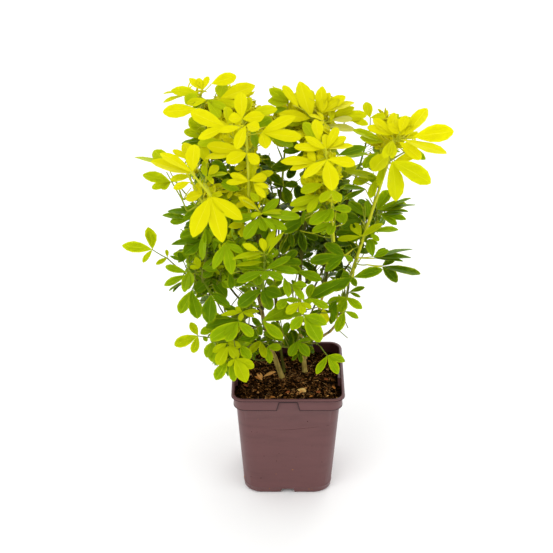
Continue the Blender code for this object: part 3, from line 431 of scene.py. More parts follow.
        (-30, 5, (384, 142), (352.7, 131, 7), (360, 138, 8)),
        (-34, 4, (369.8, 232.5), (397.8, 229, 5.5), (378.5, 241, 5)),
        (-20, 1, (362, 220), (343, 215, 8), (341, 229, 10)),
        (-24, 2, (362, 234), (336, 233, 9), (350, 241, 6)),
        (-40, 5, (361, 236.5), (352.4, 223, 10), (338, 239.8, 6), (383, 224, 6)),
        (-24, 2, (374, 258), (413.3, 250, 3), (411.5, 258.6, 5)),
        (-20, 2, (374, 258.5), (385, 248, 6), (403, 261, 4)),
        (-18, 1, (382, 266), (396, 257, 7)),
        (-28, 3, (373, 257), (368, 239.5, 9), (388.5, 251, 6)),
        (-16, 1, (382, 266.5), (420.2, 274.3, 7.5), (397.5, 281.7, 10)),
        (-52, 2, (353, 277.5), (382.5, 270, 10)),
        (-62, 2, (344.5, 255.5), (310.2, 262, 11), (324.8, 270.7, 8.5), (326, 243.5, 10)),
        (-70, 2, (353, 277), (310, 298.5, 13), (334, 291, 9)),
    ],
    "foliage_right_side": [
        (16, 4, (376.4, 209.8), (389.9, 191.3, 11), (406, 204, 9)),
        (20, 3, (378, 211.5), (416, 204.6, 2.5), (411.3, 198.4, 3), (408, 212, 3)),
        (14, 3, (380, 214), (403, 213.5, 3.5), (406, 218.5, 6), (397, 224, 6.5)),
    ],
    "foliage_centre": [
        (-66, 3, (305, 207), (303.5, 224, 3.5)),
        (-90, 4, (323, 203), (309, 213, 5)),
        (-60, 3, (296, 218), (279, 222, 5)),
        (-30, 0, (299.5, 230), (304.5, 251.5, 8), (317, 240, 6), (290, 249, 7)),
        (-60, 4, (308, 224), (306, 212, 6), (313, 214, 6)),
        (-50, 4, (345, 224), (334, 213, 7), (343, 211, 7)),
        (-70, 2, (305, 219), (281.5, 231.5, 12), (290, 219, 6)),
        (-96, 7, (319, 142), (315, 119.5, 11)),
        (-80, 5, (318, 144), (303, 123, 11)),
        (-84, 5, (331, 147), (344, 139, 8)),
        (-104, 7, (326, 149.5), (325.5, 134.5, 8.5), (338, 128, 9), (304.5, 137, 7.5)),
        (-100, 7, (325, 149), (294.5, 147.5, 8), (345.8, 137, 8), (353, 145.5, 5)),
        (-108, 7, (316, 161.7), (280.8, 162, 9), (290.3, 169.8, 7), (308, 153, 7)),
        (-112, 7, (327, 159.5), (303.8, 178.5, 9), (332.5, 190.3, 16), (355.3, 163.3, 10.5)),
        (-80, 2, (338, 155.4), (366, 147, 9)),
        (-60, 4, (342, 158), (366.5, 153, 5)),
        (-98, 5, (320, 196), (290, 205, 9), (307, 211.5, 8)),
        (-100, 5, (323, 184), (301, 192, 10)),
        (-96, 5, (318, 203), (291.5, 211.3, 6)),
        (-102, 5, (332, 190), (319.5, 201.5, 8.5), (339.7, 202, 9)),
        (-94, 4, (333, 208.5), (310.5, 224.6, 11), (324.8, 221.6, 11), (351, 209, 8)),
        (-88, 4, (335, 223), (328.5, 234.3, 9), (312, 230.5, 7.5)),
    ],
    "foliage_top": [
        (0, 6, (331, 122), (331, 110, 6)),
        (-6, 7, (311, 118.5), (300, 81.5, 17), (279, 115, 12)),
        (4, 7, (320.4, 113), (321.8, 86.4, 11.5), (329.5, 92.8, 8), (344.5, 95.5, 11)),
        (0, 7, (322, 113), (354.8, 103.5, 6), (339, 99, 8), (325, 99, 8)),
        (10, 6, (329, 118), (367, 116.5, 11), (354, 107, 8)),
        (16, 6, (347, 116.5), (367.5, 125.5, 7)),
        (2, 5, (311, 120), (287, 124, 7)),
        (12, 8, (325, 125), (356, 131.3, 7)),
        (6, 8, (331, 120), (352, 119, 6)),
        (-4, 7, (299, 108), (282.5, 86, 8.5)),
    ],
    "foliage_top_centre": [
        (24, 5, (289, 103), (270, 88, 11), (268, 102, 10), (281, 94, 9)),
        (20, 4, (288, 108), (271, 112, 6)),
        (14, 1, (271, 168), (264.5, 155, 7), (291, 165, 12)),
        (14, 1, (283, 186), (297.5, 183, 7), (271, 174, 9), (290.5, 202.5, 10)),
        (18, 2, (301, 151), (283, 151.5, 6), (287, 141, 9)),
    ],
    "foliage_back_top_right": [
        (44, 6, (370, 118), (366, 102.4, 9.5), (385, 115, 6)),
        (40, 5, (388, 124), (411, 117.5, 7), (398, 114, 7)),
    ],
    "foliage_back": [
        (70, 0, (295.5, 183), (302, 202.5, 11)),
        (66, 0, (297, 165), (273, 171, 7), (288, 178, 8)),
        (60, 0, (296, 184), (273, 184, 7)),
        (58, 0, (277, 188), (285, 203, 6)),
    ],
    "foliage_back_low_right": [
        (50, 0, (300, 260), (317.6, 272.8, 6.5), (313, 253, 4)),
        (50, 2, (307, 272), (308, 284, 6)),
    ],
}

# Twigs and stalks that the photo shows: the mass that carries each, its finish (0 for wood, 1 for
# green), its widths in pixels at its foot and at its end, how far it stands behind the pot's
# middle, and the places in the photo that it passes.
SEEN_TWIGS = [
    ("foliage_left_front", 0, (1.8, 1.2), -56, [(187, 212), (182.4, 200), (174, 186), (166.5, 172)]),
    ("foliage_left_front", 0, (2.2, 1.4), -56, [(183, 201), (179.5, 190), (176, 180)]),
    ("foliage_left_front", 1, (1.3, 1.0), -56, [(183, 200), (187, 193), (191, 188)]),
    ("foliage_left_front", 1, (3.0, 2.4), -121, [(211.5, 197), (201, 184), (190.5, 171.5)]),
    ("foliage_upper_left", 1, (3.0, 2.4), -93, [(249, 214), (248.5, 175), (246.5, 136)]),
    ("foliage_upper_left", 1, (2.0, 1.6), -105, [(260, 212), (252, 205), (243, 200)]),
    ("foliage_centre", 1, (2.4, 1.8), -90, [(334.3, 243), (332.5, 220), (331.4, 198)]),
    ("foliage_centre", 1, (2.2, 1.6), -104, [(327, 176), (327, 160), (325.5, 148)]),
    ("foliage_left_low", 0, (2.0, 1.2), -60, [(226, 318), (219, 306), (214.4, 297)]),
    ("foliage_low_left", 0, (1.2, 0.9), -70, [(230, 307), (238, 297), (245.5, 287)]),
    ("foliage_low_left", 0, (1.2, 0.9), -72, [(245, 295), (240, 291), (235, 287)]),
    ("foliage_low_right", 0, (1.4, 0.9), -40, [(336, 328), (342, 333), (347.5, 338)]),
    ("foliage_low_right", 0, (1.4, 0.9), -40, [(342, 316), (345, 321), (348, 328)]),
]

# The masses' dense part in the photo: for each ten pixels down from the first row, the stretches
# between which its grown leaves stay. Beyond them only the leaves above stand against the sky.
DENSE_FROM, DENSE_STEP = 80, 10
DENSE_PART = [
    ((194, 206), (301, 312)),
    ((188, 206), (218, 250), (274, 286), (300, 322), (334, 344)),
    ((186, 200), (212, 252), (274, 346)),
    ((196, 262), (278, 346), (372, 392)),
    ((198, 330), (376, 414)),
    ((198, 328), (376, 420)),
    ((194, 256), (300, 334), (370, 416)),
    ((190, 254), (300, 336), (370, 408)),
    ((188, 270), (300, 338), (368, 394)),
    ((188, 282), (302, 374)),
    ((190, 270), (302, 348), (372, 378)),
    ((196, 268), (304, 348), (374, 378)),
    ((198, 280), (304, 352)),
    ((190, 384),),
    ((186, 386),),
    ((184, 380),),
    ((184, 372),),
    ((182, 310), (318, 370)),
    ((188, 300), (318, 338), (352, 362)),
    ((188, 304), (322, 356)),
    ((190, 300), (322, 354)),
    ((194, 226), (240, 296), (342, 352)),
    ((190, 226), (240, 284), (326, 348)),
    ((192, 218), (240, 256), (266, 300), (330, 348)),
    ((210, 250), (262, 324), (336, 344)),
    ((210, 248), (264, 316)),
    ((212, 318),),
    ((214, 262), (284, 312)),
    ((216, 254), (288, 308)),
    ((220, 244),),
]

# What makes a shoot's point a bad root for such a leaf, in millimetres of stalk
BACKWARD_COST = 30.0
SHORT_COST = 3.0
SHORTEST_STALK = 8.0

# How the seen leaves lie
SEEN_FACE_UP = 0.35         # how far their plane looks up rather than at the camera
SEEN_FACE_VARIES = 0.30
SEEN_ROLL = (5, 30)         # degrees that a leaflet's face is rolled to the sky
SEEN_NARROWEST = 0.32       # a leaflet that looks narrower than this, in its length, is rolled more
SEEN_GROWS = (0.5, 0.8)     # pixels by which the photo's soft edges widen a leaflet's reach and width
SEEN_FLATNESS = 0.35        # how much less the seen leaflets arch and fold than grown ones
SEEN_STALK_RADIUS = (0.85, 0.65)
SEEN_TWIG_FROM = 34.0       # a longer stalk is carried by a twig
SEEN_STALK = 20.0
HIDE_REACH = 6.0            # pixels round a seen leaf in which nothing grows in front of it
HIDE_DEPTH = 3.0

# How leaves grow on a shoot, from its tip down: the distance of each pair below the tip, and for
# that pair the size of its leaflets, the lean of its stalk, the stalk's length in leaflets, how
# far the leaf droops, and how often it has fallen.
PAIR_BELOW_TIP = (1, 5, 12, 23, 38, 56, 78, 104, 132)
PAIR_SIZE = (0.42, 0.66, 0.86, 1.0, 1.0, 1.0, 0.95, 0.95, 0.9)
PAIR_LEAN = (14, 32, 50, 64, 76, 84, 90, 94, 98)
PAIR_STALK = (0.16, 0.26, 0.40, 0.52, 0.58, 0.62, 0.62, 0.62, 0.6)
PAIR_DROOP = (0, 4, 10, 16, 24, 30, 36, 42, 46)
PAIR_FALLEN = (0, 0, 0, 0.05, 0.15, 0.3, 0.35, 0.4, 0.5)
GROWN_FROM = 42.0       # leaflet length that PAIR_BELOW_TIP is given for
ANGLE_VARIES = 8.0      # degrees that a stalk's lean and a leaf's droop vary by
TURN_VARIES = 0.25      # radians that a leaf's place round the shoot varies by
SIZE_VARIES = (0.85, 1.12)
STALK_LIFT = 0.25       # how far stalks turn up to the light, from the third pair down
FACE_AHEAD = 0.5        # how far a leaf's face looks along its shoot
FACE_UP = 0.9           # and up
FACE_OUT = 0.9          # and away from the crown's middle, at its rim
FACE_VARIES = 0.2
CROWN_MIDDLE = (0.0, 10.0)
CROWN_RADIUS = 150.0

# Shoots
SHOOT_STEPS = 8
SHOOT_AHEAD = 0.08      # how far a shoot's middle keeps to its first direction, in its length
SHOOT_SAG = 0.056       # and how far it hangs
SIDE_SHOOT_LEAN = 38.0
SIDE_SHOOT_FROM = (0.08, 0.85)  # shares of the leading shoot between which side shoots leave it
SIDE_SHOOT_SHORTEST = 12.0
SIDE_SHOOT_SIZE = 0.85  # thickness, compared with the leading shoot's
BARE_FOOT = 0.08        # share of the leading shoot that has no leaves, at its foot
BARE_FORK = 0.2         # the same for a side shoot

# A leaf's form
SPREAD = (48, 62)       # degrees between the middle leaflet and the outer two
SPREAD_VARIES = (0.92, 1.1)
LEAFLET_VARIES = (0.94, 1.06)
SIDE_LEAFLET = 0.86     # length of the outer leaflets
SIDE_DROP = 0.12        # how far the outer leaflets hang below the middle one

# Finer growth, which only the looks have
TWIG_FROM = (0.04, 0.84)    # shares of a shoot between which twigs leave it
TWIG_EVERY = 6.0
TWIG_LENGTH = (16, 52)
TWIG_LEAN = 46.0
TWIG_LIFT = 0.25
TWIG_LEAFLETS = (0.78, 0.56)    # leaflets' length on two sets of twigs, compared with the shoot's
TWIG_RADIUS = (0.95, 0.6)
SHOOT_RADIUS = (1.55, 0.85)
SHOOT_HOLDS = 4.5           # a shoot ends where nothing more grows this near to it
YELLOW_LEADERS = {          # vigorous leading shoots that are yellow and thick
    "foliage_right": (2.2, 1.6),
    "foliage_left_front": (1.8, 1.3),
}
PETIOLE_RADIUS = (0.55, 0.42)
SPACE_OVERLAP = 16.0         # how far a leaf may reach into the next mass's space
LIMB_CLEAR = 2.5            # how near to a limb a leaf may come

# A leaflet's form, in its own length: how wide it is, where the width peaks by the two powers of
# its outline, how much its tip curls down, how far its halves fold up and how its edges wave.
LEAFLET_WIDTH = (0.50, 0.39)     # at the crown's foot and at its top
OUTLINE_POWERS = (1.12, (0.58, 0.86))  # the second one varies
LEAFLET_CURL = (0.05, 0.35)
LEAFLET_FOLD = (0.20, 0.60)
LEAFLET_WAVE = 0.10
LEAFLET_SICKLE = 0.05
LEAFLET_THICK = 0.42
LEAFLET_STATIONS = 6
RIB_HALF = 0.035            # half the width of the pale midrib, in half widths

# Leaf tones from the most shaded to the most sunlit: the leaves' own green to golden yellow, with the
# darkest greens partly painted shade. For each: the upper face of a leaf, its underside and its
# midrib, each as red, green and blue.
TONES = {
    "leaf_shade_green": ((0.028, 0.062, 0.002), (0.070, 0.115, 0.020), (0.06, 0.11, 0.01)),
    "leaf_deep_green": ((0.060, 0.125, 0.002), (0.120, 0.185, 0.030), (0.12, 0.21, 0.01)),
    "leaf_green": ((0.095, 0.190, 0.002), (0.155, 0.235, 0.035), (0.19, 0.30, 0.01)),
    "leaf_fresh_green": ((0.145, 0.255, 0.002), (0.200, 0.275, 0.035), (0.27, 0.37, 0.01)),
    "leaf_lime": ((0.215, 0.330, 0.002), (0.270, 0.330, 0.008), (0.32, 0.42, 0.01)),
    "leaf_yellow_green": ((0.365, 0.440, 0.002), (0.370, 0.400, 0.006), (0.46, 0.51, 0.01)),
    "leaf_yellow": ((0.530, 0.545, 0.002), (0.480, 0.480, 0.006), (0.59, 0.60, 0.01)),
    "leaf_bright_yellow": ((0.625, 0.590, 0.002), (0.540, 0.510, 0.006), (0.69, 0.65, 0.015)),
    "leaf_pale_under": ((0.600, 0.590, 0.110), (0.600, 0.590, 0.110), (0.66, 0.64, 0.16)),
}
GROWN_TONES = 8
CROWN_FOOT, CROWN_TOP = 220, 575

# Tone of each mass at its top and at its foot, as a share of the way through TONES; the lower tones of
# the inner, low and back masses are partly painted shade
MASS_TONES = {
    "foliage_upper_left": (1.0, 0.78),
    "foliage_top_left": (0.92, 0.66),
    "foliage_left_front": (1.0, 0.80),
    "foliage_left": (0.62, 0.42),
    "foliage_left_low": (0.60, 0.48),
    "foliage_front_left": (0.62, 0.42),
    "foliage_low_left": (0.60, 0.42),
    "foliage_pot_left": (0.64, 0.55),
    "foliage_front_low": (0.52, 0.38),
    "foliage_centre_low": (0.58, 0.42),
    "foliage_low_right": (0.58, 0.46),
    "foliage_right": (1.0, 0.30),
    "foliage_right_side": (0.55, 0.30),
    "foliage_centre": (1.0, 0.52),
    "foliage_top": (0.96, 0.62),
    "foliage_top_centre": (0.84, 0.52),
    "foliage_back_top_left": (0.90, 0.34),
    "foliage_back_top_right": (0.92, 0.36),
    "foliage_back_top": (0.88, 0.30),
    "foliage_back_left": (0.56, 0.28),
    "foliage_back": (0.54, 0.24),
    "foliage_back_right": (0.54, 0.26),
    "foliage_back_low_left": (0.40, 0.24),
    "foliage_back_low_right": (0.38, 0.22),
}
TONE_BY_PAIR = (0.14, 0.12, 0.06, 0.0, -0.07, -0.14, -0.20, -0.26, -0.30)
TONE_TWIG = -0.06
TONE_VARIES = 0.07
TONE_INSIDE_PAINTED_SHADE = -0.22         # how much darker leaves are that lie deep in the crown, below its top: painted shade
TONE_TOP = 0.30             # and how much brighter they are at the very top: golden leaves in full sun, partly painted sunlight
TOP_FROM, TOP_TO = 440, 530


def unit(v):
    return v / np.linalg.norm(v, axis=-1, keepdims=True)


def curve(start, end, bow, steps):
    """Points on a smooth curve whose middle is pushed away from the straight line by bow."""
    start, end, bow = (np.array(p, float) for p in (start, end, bow))
    middle = (start + end) / 2 + bow
    t = np.linspace(0, 1, steps + 1)[:, None]
    return (1 - t) ** 2 * start + 2 * t * (1 - t) * middle + t ** 2 * end


def along(path, share):
    """The point at that share of a path's steps, and the path's direction there."""
    place = min(share, 0.9999) * (len(path) - 1)
    step = int(place)
    leg = path[step + 1] - path[step]
    return path[step] + (place - step) * leg, unit(leg)


def path_length(path):
    return np.linalg.norm(np.diff(path, axis=0), axis=1).sum()


def resampled(path, step):
    """The same path with a point about every step, and each point's distance from its foot."""
    shares = np.r_[0, np.cumsum(np.linalg.norm(np.diff(path, axis=0), axis=1))]
    spots = np.linspace(0, shares[-1], max(3, int(shares[-1] / step) + 1))
    return np.stack([np.interp(spots, shares, path[:, k]) for k in range(3)], axis=1), spots


def vary(dice, most):
    return dice.uniform(-most, most)


# Shader maths

class Value:
    """A shader socket that + - * / and ** work on: each adds the Math node it stands for."""

    def __init__(self, finish, socket):
        self.finish, self.socket = finish, socket

    def math(self, operation, first, second):
        made = self.finish.node("ShaderNodeMath", {"operation": operation}, {0: first, 1: second})
        return Value(self.finish, made.outputs[0])

    def __add__(self, other):
        return self.math("ADD", self, other)

    def __sub__(self, other):
        return self.math("SUBTRACT", self, other)

    def __rsub__(self, other):
        return self.math("SUBTRACT", other, self)

    def __mul__(self, other):
        return self.math("MULTIPLY", self, other)

    def __truediv__(self, other):
        return self.math("DIVIDE", self, other)

    def __pow__(self, other):
        return self.math("POWER", self, other)

    __radd__ = __add__
    __rmul__ = __mul__


class Finish:
    """One material: a Principled BSDF and the nodes that feed it."""

    def __init__(self, name, colour, roughness, **constants):
        self.material = bpy.data.materials.new(name)
        self.material.use_nodes = True
        self.tree = self.material.node_tree
        self.shader = self.tree.nodes["Principled BSDF"]
        self.set("Base Color", (*colour, 1) if len(colour) == 3 else colour)
        self.set("Roughness", roughness)
        for socket, value in constants.items():
            self.set(socket.replace("_", " "), value)

    def set(self, socket, value):
        self.feed(self.shader.inputs[socket], value)

    def feed(self, socket, value):
        if isinstance(value, Value):
            value = value.socket
        if isinstance(value, bpy.types.NodeSocket):
            self.tree.links.new(value, socket)
        else:
            socket.default_value = value

    def node(self, kind, settings, sockets):
        """A node of that kind, its settings made first, then its sockets' values or links."""
        made = self.tree.nodes.new(kind)
        for key, value in settings.items():
            if key == "stops":
                ramp = made.color_ramp.elements
                while len(ramp) < len(value):
                    ramp.new(0.5)
                for stop, (place, colour) in zip(ramp, value):
                    stop.position, stop.color = place, (*colour, 1)
            else:
                setattr(made, key, value)
        for key, value in sockets.items():
            self.feed(made.inputs[key], value)
        return made

    def place_in(self, stretch=(1, 1, 1)):
        """Object coordinates, stretched by a factor along each axis."""
        where = self.node("ShaderNodeTexCoord", {}, {}).outputs["Object"]
        if stretch == (1, 1, 1):
            return where
        return self.node("ShaderNodeMapping", {}, {"Vector": where, "Scale": stretch}).outputs[0]

    def noise(self, size, detail=3.0, stretch=(1, 1, 1)):
        """Soft random values from 0 to 1 whose lumps are about size millimetres across."""
        made = self.node("ShaderNodeTexNoise", {}, {
            "Vector": self.place_in(stretch), "Scale": 1 / (size * MM), "Detail": detail})
        return Value(self, made.outputs[0])

    def between(self, share, low, high):
        """The colour that share of the way from low to high."""
        made = self.node("ShaderNodeMix", {"data_type": "RGBA"},
                         {0: share, 6: (*low, 1), 7: (*high, 1)})
        return made.outputs[2]

    def ramp(self, value, stops):
        return self.node("ShaderNodeValToRGB", {"stops": stops}, {0: value}).outputs[0]

    def bump(self, height, depth):
        """Relief that follows height, depth millimetres from its lowest to its highest."""
        made = self.node("ShaderNodeBump", {}, {
            "Strength": 1.0, "Distance": depth * MM, "Height": height})
        self.set("Normal", made.outputs[0])


def shifted(colour, factor):
    return tuple(min(1.0, channel * factor) for channel in colour)


def pot_plastic(name, colour, gloss):
    """Satin moulded plastic: mottled, with dull smears that run round it and are a little darker."""
    finish = Finish(name, colour, 0.4, Specular_IOR_Level=gloss)
    smears = finish.noise(15, 4.0, (0.35, 0.35, 1.9))
    specks = finish.noise(2.4, 2.0)
    stops = [(0.30, shifted(colour, 0.88)), (0.46, shifted(colour, 0.99)),
             (0.72, shifted(colour, 1.07))]
    finish.set("Base Color", finish.ramp(smears * 0.8 + specks * 0.2, stops))
    finish.set("Roughness", 0.28 + finish.noise(9, 5.0, (1, 1, 0.25)) * 0.18)
    finish.bump(finish.noise(1.2, 2.0), 0.03)
    return finish.material


def potting_soil():
    """Damp peat: near-black crumbs among paler brown ones."""
    finish = Finish("potting_soil", (0.02, 0.008, 0.003), 0.95, Specular_IOR_Level=0.0)
    crumbs = finish.noise(2.6, 7.0)
    stops = [(0.40, (0.002, 0.001, 0.0)), (0.50, (0.010, 0.004, 0.001)),
             (0.60, (0.045, 0.018, 0.005)), (0.74, (0.17, 0.073, 0.020))]
    finish.set("Base Color", finish.ramp(crumbs, stops))
    finish.bump(finish.noise(1.4, 8.0), 1.4)
    return finish.material


def dry_stuff(name, colour):
    """Dead plant matter: streaked and matt."""
    finish = Finish(name, colour, 0.9, Specular_IOR_Level=0.04)
    streaks = finish.noise(2.0, 4.0)
    finish.set("Base Color", finish.between(streaks, shifted(colour, 0.6), shifted(colour, 1.3)))
    finish.bump(finish.noise(0.8, 3.0), 0.15)
    return finish.material


def bark(name, dark, pale):
    """Young bark: pale streaks that run up the limb over a darker skin, with fine cracks."""
    finish = Finish(name, pale, 0.75, Specular_IOR_Level=0.05)
    streaks = finish.noise(3.2, 6.0, (1, 1, 0.22))
    stops = [(0.28, dark), (0.50, pale), (0.72, shifted(pale, 1.35))]
    finish.set("Base Color", finish.ramp(streaks, stops))
    cracks = finish.noise(1.1, 5.0, (1, 1, 0.35))
    finish.bump(cracks, 0.35)
    return finish.material


def green_shoot(name, colour):
    """Green young wood: smooth, with faint ridges along it."""
    finish = Finish(name, colour, 0.5, Specular_IOR_Level=0.12)
    streaks = finish.noise(4.0, 3.0, (1, 1, 0.3))
    finish.set("Base Color", finish.between(streaks, shifted(colour, 0.75), shifted(colour, 1.25)))
    finish.bump(finish.noise(0.9, 2.0), 0.08)
    return finish.material


def leaf_skin(name, colour, roughness):
    """Leathery leaf: one plain colour, with faint pits and a sheen that comes and goes.

    Some of the light that falls on it spreads through its flesh and shows on its other side.
    """
    finish = Finish(name, colour, roughness, Specular_IOR_Level=0.10,
                    Specular_Tint=(1.0, 1.0, 0.12, 1.0), Subsurface_Weight=0.65,
                    Subsurface_Radius=(1.0, 1.0, 0.3), Subsurface_Scale=1.0 * MM)
    gloss = finish.noise(12, 3.0)
    finish.set("Roughness", roughness - 0.08 + gloss * 0.16)
    finish.bump(finish.noise(1.8, 3.0), 0.10)
    return finish.material


# Making pieces

def piece(name, points, faces, finishes, nodes=(), finish_of_face=None, sharp=50):
    """One object that rides with the plant: its mesh in metres, its finishes and its places."""
    mesh = bpy.data.meshes.new(name)
    mesh.from_pydata((np.asarray(points) * MM).tolist(), [], faces)
    for finish in finishes:
        mesh.materials.append(finish)
    if finish_of_face is not None:
        mesh.polygons.foreach_set("material_index", np.asarray(finish_of_face, np.int32))
    mesh.update()
    mesh.shade_smooth()
    mesh.set_sharp_from_angle(angle=math.radians(sharp))
    obj = bpy.data.objects.new(name, mesh)
    bpy.context.scene.collection.objects.link(obj)
    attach(obj, "root")
    if nodes:
        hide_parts(*nodes)
    return obj


class Bundle:
    """Many small surfaces gathered into one mesh."""

    def __init__(self):
        self.points, self.faces, self.finishes, self.count = [], [], [], 0

    def add(self, points, faces, finish=0):
        """Points, faces as lists of their numbers, and one finish or one for each face."""
        points = np.asarray(points, float).reshape(-1, 3)
        self.points.append(points)
        for block in faces:
            self.faces += (np.asarray(block) + self.count).tolist()
            self.finishes += [finish] * len(block) if np.isscalar(finish) else []
        if not np.isscalar(finish):
            self.finishes += list(finish)
        self.count += len(points)

    def make(self, name, finishes, nodes=(), sharp=50):
        return piece(name, np.vstack(self.points), self.faces, finishes, nodes,
                     self.finishes, sharp)


def grid_faces(rows, columns, wrap):
    """The quads of a grid of points, row after row, closed round if wrap is set."""
    row, column = np.mgrid[0:rows - 1, 0:columns if wrap else columns - 1]
    after = (column + 1) % columns
    quads = np.stack([row * columns + column, row * columns + after,
                      (row + 1) * columns + after, (row + 1) * columns + column], axis=-1)
    return quads.reshape(-1, 4)


def ways_of(path):
    """The direction of a path at each of its points."""
    legs = np.diff(path, axis=0)
    return unit(np.vstack([legs[:1], legs[:-1] + legs[1:], legs[-1:]]))


def tube(path, radii, sides, foot_way=None):
    """A round profile carried along a path: point (i, k) is path i plus radius i, k at angle k.

    The profile turns as little as it can from one ring to the next. The ends are flat caps.
    """
    ways = ways_of(path)
    if foot_way is not None:
        ways[0] = foot_way
    side = unit(np.cross(ways[0], (0.3, 1.0, 0.1)))
    sides_of = []
    for way in ways:
        side = unit(side - way * (side @ way))
        sides_of.append(side)
    side = np.array(sides_of)[:, None]
    third = np.cross(ways[:, None], side)
    turn = (np.arange(sides) * 2 * math.pi / sides)[None, :, None]
    radii = np.asarray(radii, float)
    radii = radii[:, None, None] if radii.ndim == 1 else radii[..., None]
    points = path[:, None] + radii * (side * np.cos(turn) + third * np.sin(turn))
    quads = grid_faces(len(path), sides, True)
    last = (len(path) - 1) * sides
    caps = [np.arange(sides)[None, ::-1], last + np.arange(sides)[None]]
    return points.reshape(-1, 3), [quads, *caps]


# Pot and soil

def rounded_square(half, radius, height):
    """A square ring with round corners, anticlockwise from above.

    Round each corner the point at angle a is the corner's centre plus radius times (cos a, sin a),
    and the flat of each side is split evenly.
    """
    ring = []
    for quarter in range(4):
        a = math.radians(90) * quarter + np.linspace(0, math.radians(90), CORNER_STEPS + 1)
        corner = math.radians(90) * quarter + math.radians(45)
        centre = (half - radius) * math.sqrt(2)
        arc = np.stack([centre * math.cos(corner) + radius * np.cos(a),
                        centre * math.sin(corner) + radius * np.sin(a)], axis=1)
        ring.append(arc)
    points = []
    for quarter in range(4):
        arc, following = ring[quarter], ring[(quarter + 1) % 4]
        share = (np.arange(1, SIDE_STEPS) / SIDE_STEPS)[:, None]
        points += [arc, arc[-1] * (1 - share) + following[0] * share]
    points = np.vstack(points)
    return np.column_stack([points, np.full(len(points), float(height))])


def closed_skin(rings):
    """A closed skin through rings of equal count, with a flat cap at each end."""
    count = len(rings[0])
    quads = grid_faces(len(rings), count, True)
    last = (len(rings) - 1) * count
    caps = [np.arange(count)[None, ::-1], last + np.arange(count)[None]]
    return np.vstack(rings), [quads, *caps]


def wall_half(height):
    return FOOT_HALF + (WALL_TOP_HALF - FOOT_HALF) * height / BAND_FOOT


def corner_radius(height):
    return CORNER_FOOT + (CORNER_TOP - CORNER_FOOT) * height / POT_HEIGHT


def arc_profile(half, height, radius, first, last, steps):
    """Points of an arc of the wall's section: centre (half, height) plus radius at each angle."""
    turn = np.radians(np.linspace(first, last, steps))
    return list(zip(half + radius * np.cos(turn), height + radius * np.sin(turn)))


def pot_outside():
    """The outer wall's section, from the foot to the lip, carried round the rounded square."""
    lip_foot = POT_HEIGHT - LIP_HEIGHT
    section = arc_profile(wall_half(FOOT_ROUND) - FOOT_ROUND, FOOT_ROUND, FOOT_ROUND, -90, 0, 6)
    section += [
        (wall_half(FOOT_LINE) + 0.05, FOOT_LINE),
        (wall_half(FOOT_LINE) + 0.35, FOOT_LINE + 0.5),
        (wall_half(FOOT_LINE) + 0.35, FOOT_LINE + 1.1),
        (wall_half(FOOT_LINE) + 0.10, FOOT_LINE + 1.7),
    ]
    section += [(wall_half(h), h) for h in (40, 75, 110)]
    section += [(wall_half(BAND_FOOT) - 0.1, BAND_FOOT - 0.6), (wall_half(BAND_FOOT) + 0.3, BAND_FOOT)]
    section += arc_profile(BAND_HALF - BAND_DRAFT - 0.8, BAND_FOOT + 1.0, 0.8, -80, 0, 4)
    section += [(BAND_HALF - 0.2, lip_foot - 0.4), (BAND_HALF + 0.5, lip_foot)]
    section += arc_profile(LIP_HALF - 0.9, lip_foot + 1.0, 0.9, -85, 0, 4)
    section += arc_profile(LIP_HALF - LIP_ROUND, POT_HEIGHT - LIP_ROUND, LIP_ROUND, 5, 90, 6)
    return [rounded_square(half, corner_radius(height), height) for half, height in section]


def pot_inside(shrink, top):
    """The hollow of the pot up to a height, pulled in by shrink on every side."""
    step_foot = BAND_FOOT + WALL
    section = [
        (wall_half(FLOOR) - WALL, FLOOR + shrink),
        (wall_half(BAND_FOOT) - WALL, BAND_FOOT),
        (BAND_HALF - WALL, step_foot + shrink),
        (BAND_HALF - WALL, min(top, POT_HEIGHT - 1.2)),
    ]
    if top > POT_HEIGHT:
        section += [(BAND_HALF - WALL + 0.8, POT_HEIGHT + 0.05), (BAND_HALF - WALL + 0.9, top)]
    return [rounded_square(half - shrink, corner_radius(min(height, POT_HEIGHT)) - WALL - shrink,
                           height) for half, height in section]


def side_blocks(width_foot, width_top, low, high, inner, outer, grow):
    """Four tapered blocks, one at the middle of each side, made larger by grow all round."""
    blocks = []
    for quarter in range(4):
        turn = math.radians(90) * quarter
        points = []
        for height, width in ((low - grow, width_foot), (high + grow, width_top)):
            for reach, sign in ((inner - grow, -1), (inner - grow, 1), (outer, 1), (outer, -1)):
                x, y = reach, sign * (width / 2 + grow)
                points.append((x * math.cos(turn) - y * math.sin(turn),
                               x * math.sin(turn) + y * math.cos(turn), height))
        faces = [(0, 1, 2, 3), (7, 6, 5, 4), (4, 5, 1, 0), (5, 6, 2, 1), (6, 7, 3, 2), (7, 4, 0, 3)]
        blocks.append((points, faces))
    return blocks


def tab_blocks(grow):
    top = POT_HEIGHT - LIP_HEIGHT - TAB_BELOW_LIP
    return side_blocks(TAB_WIDTH_FOOT, TAB_WIDTH_TOP, BAND_FOOT - WALL, top,
                       WALL_TOP_HALF + 0.1, LIP_HALF + 5, grow)


def notch_blocks(grow):
    return side_blocks(NOTCH_WIDTH_FOOT, NOTCH_WIDTH_TOP, -1.0, NOTCH_HEIGHT,
                       FOOT_HALF - NOTCH_DEPTH, FOOT_HALF + 5, grow)


def drainage_slots():
    middle = FOOT_HALF - NOTCH_DEPTH + SLOT_LENGTH
    return side_blocks(SLOT_WIDTH, SLOT_WIDTH, NOTCH_HEIGHT - 1, NOTCH_HEIGHT + 2 * WALL,
                       middle - SLOT_LENGTH / 2, middle + SLOT_LENGTH / 2, 0)


def loose(name, points, faces):
    """An object for cutting with, or to be cut."""
    mesh = bpy.data.meshes.new(name)
    mesh.from_pydata((np.asarray(points) * MM).tolist(), [], [list(face) for face in faces])
    obj = bpy.data.objects.new(name, mesh)
    bpy.context.scene.collection.objects.link(obj)
    return obj


def listed(faces):
    return [list(face) for block in faces for face in np.asarray(block).tolist()]


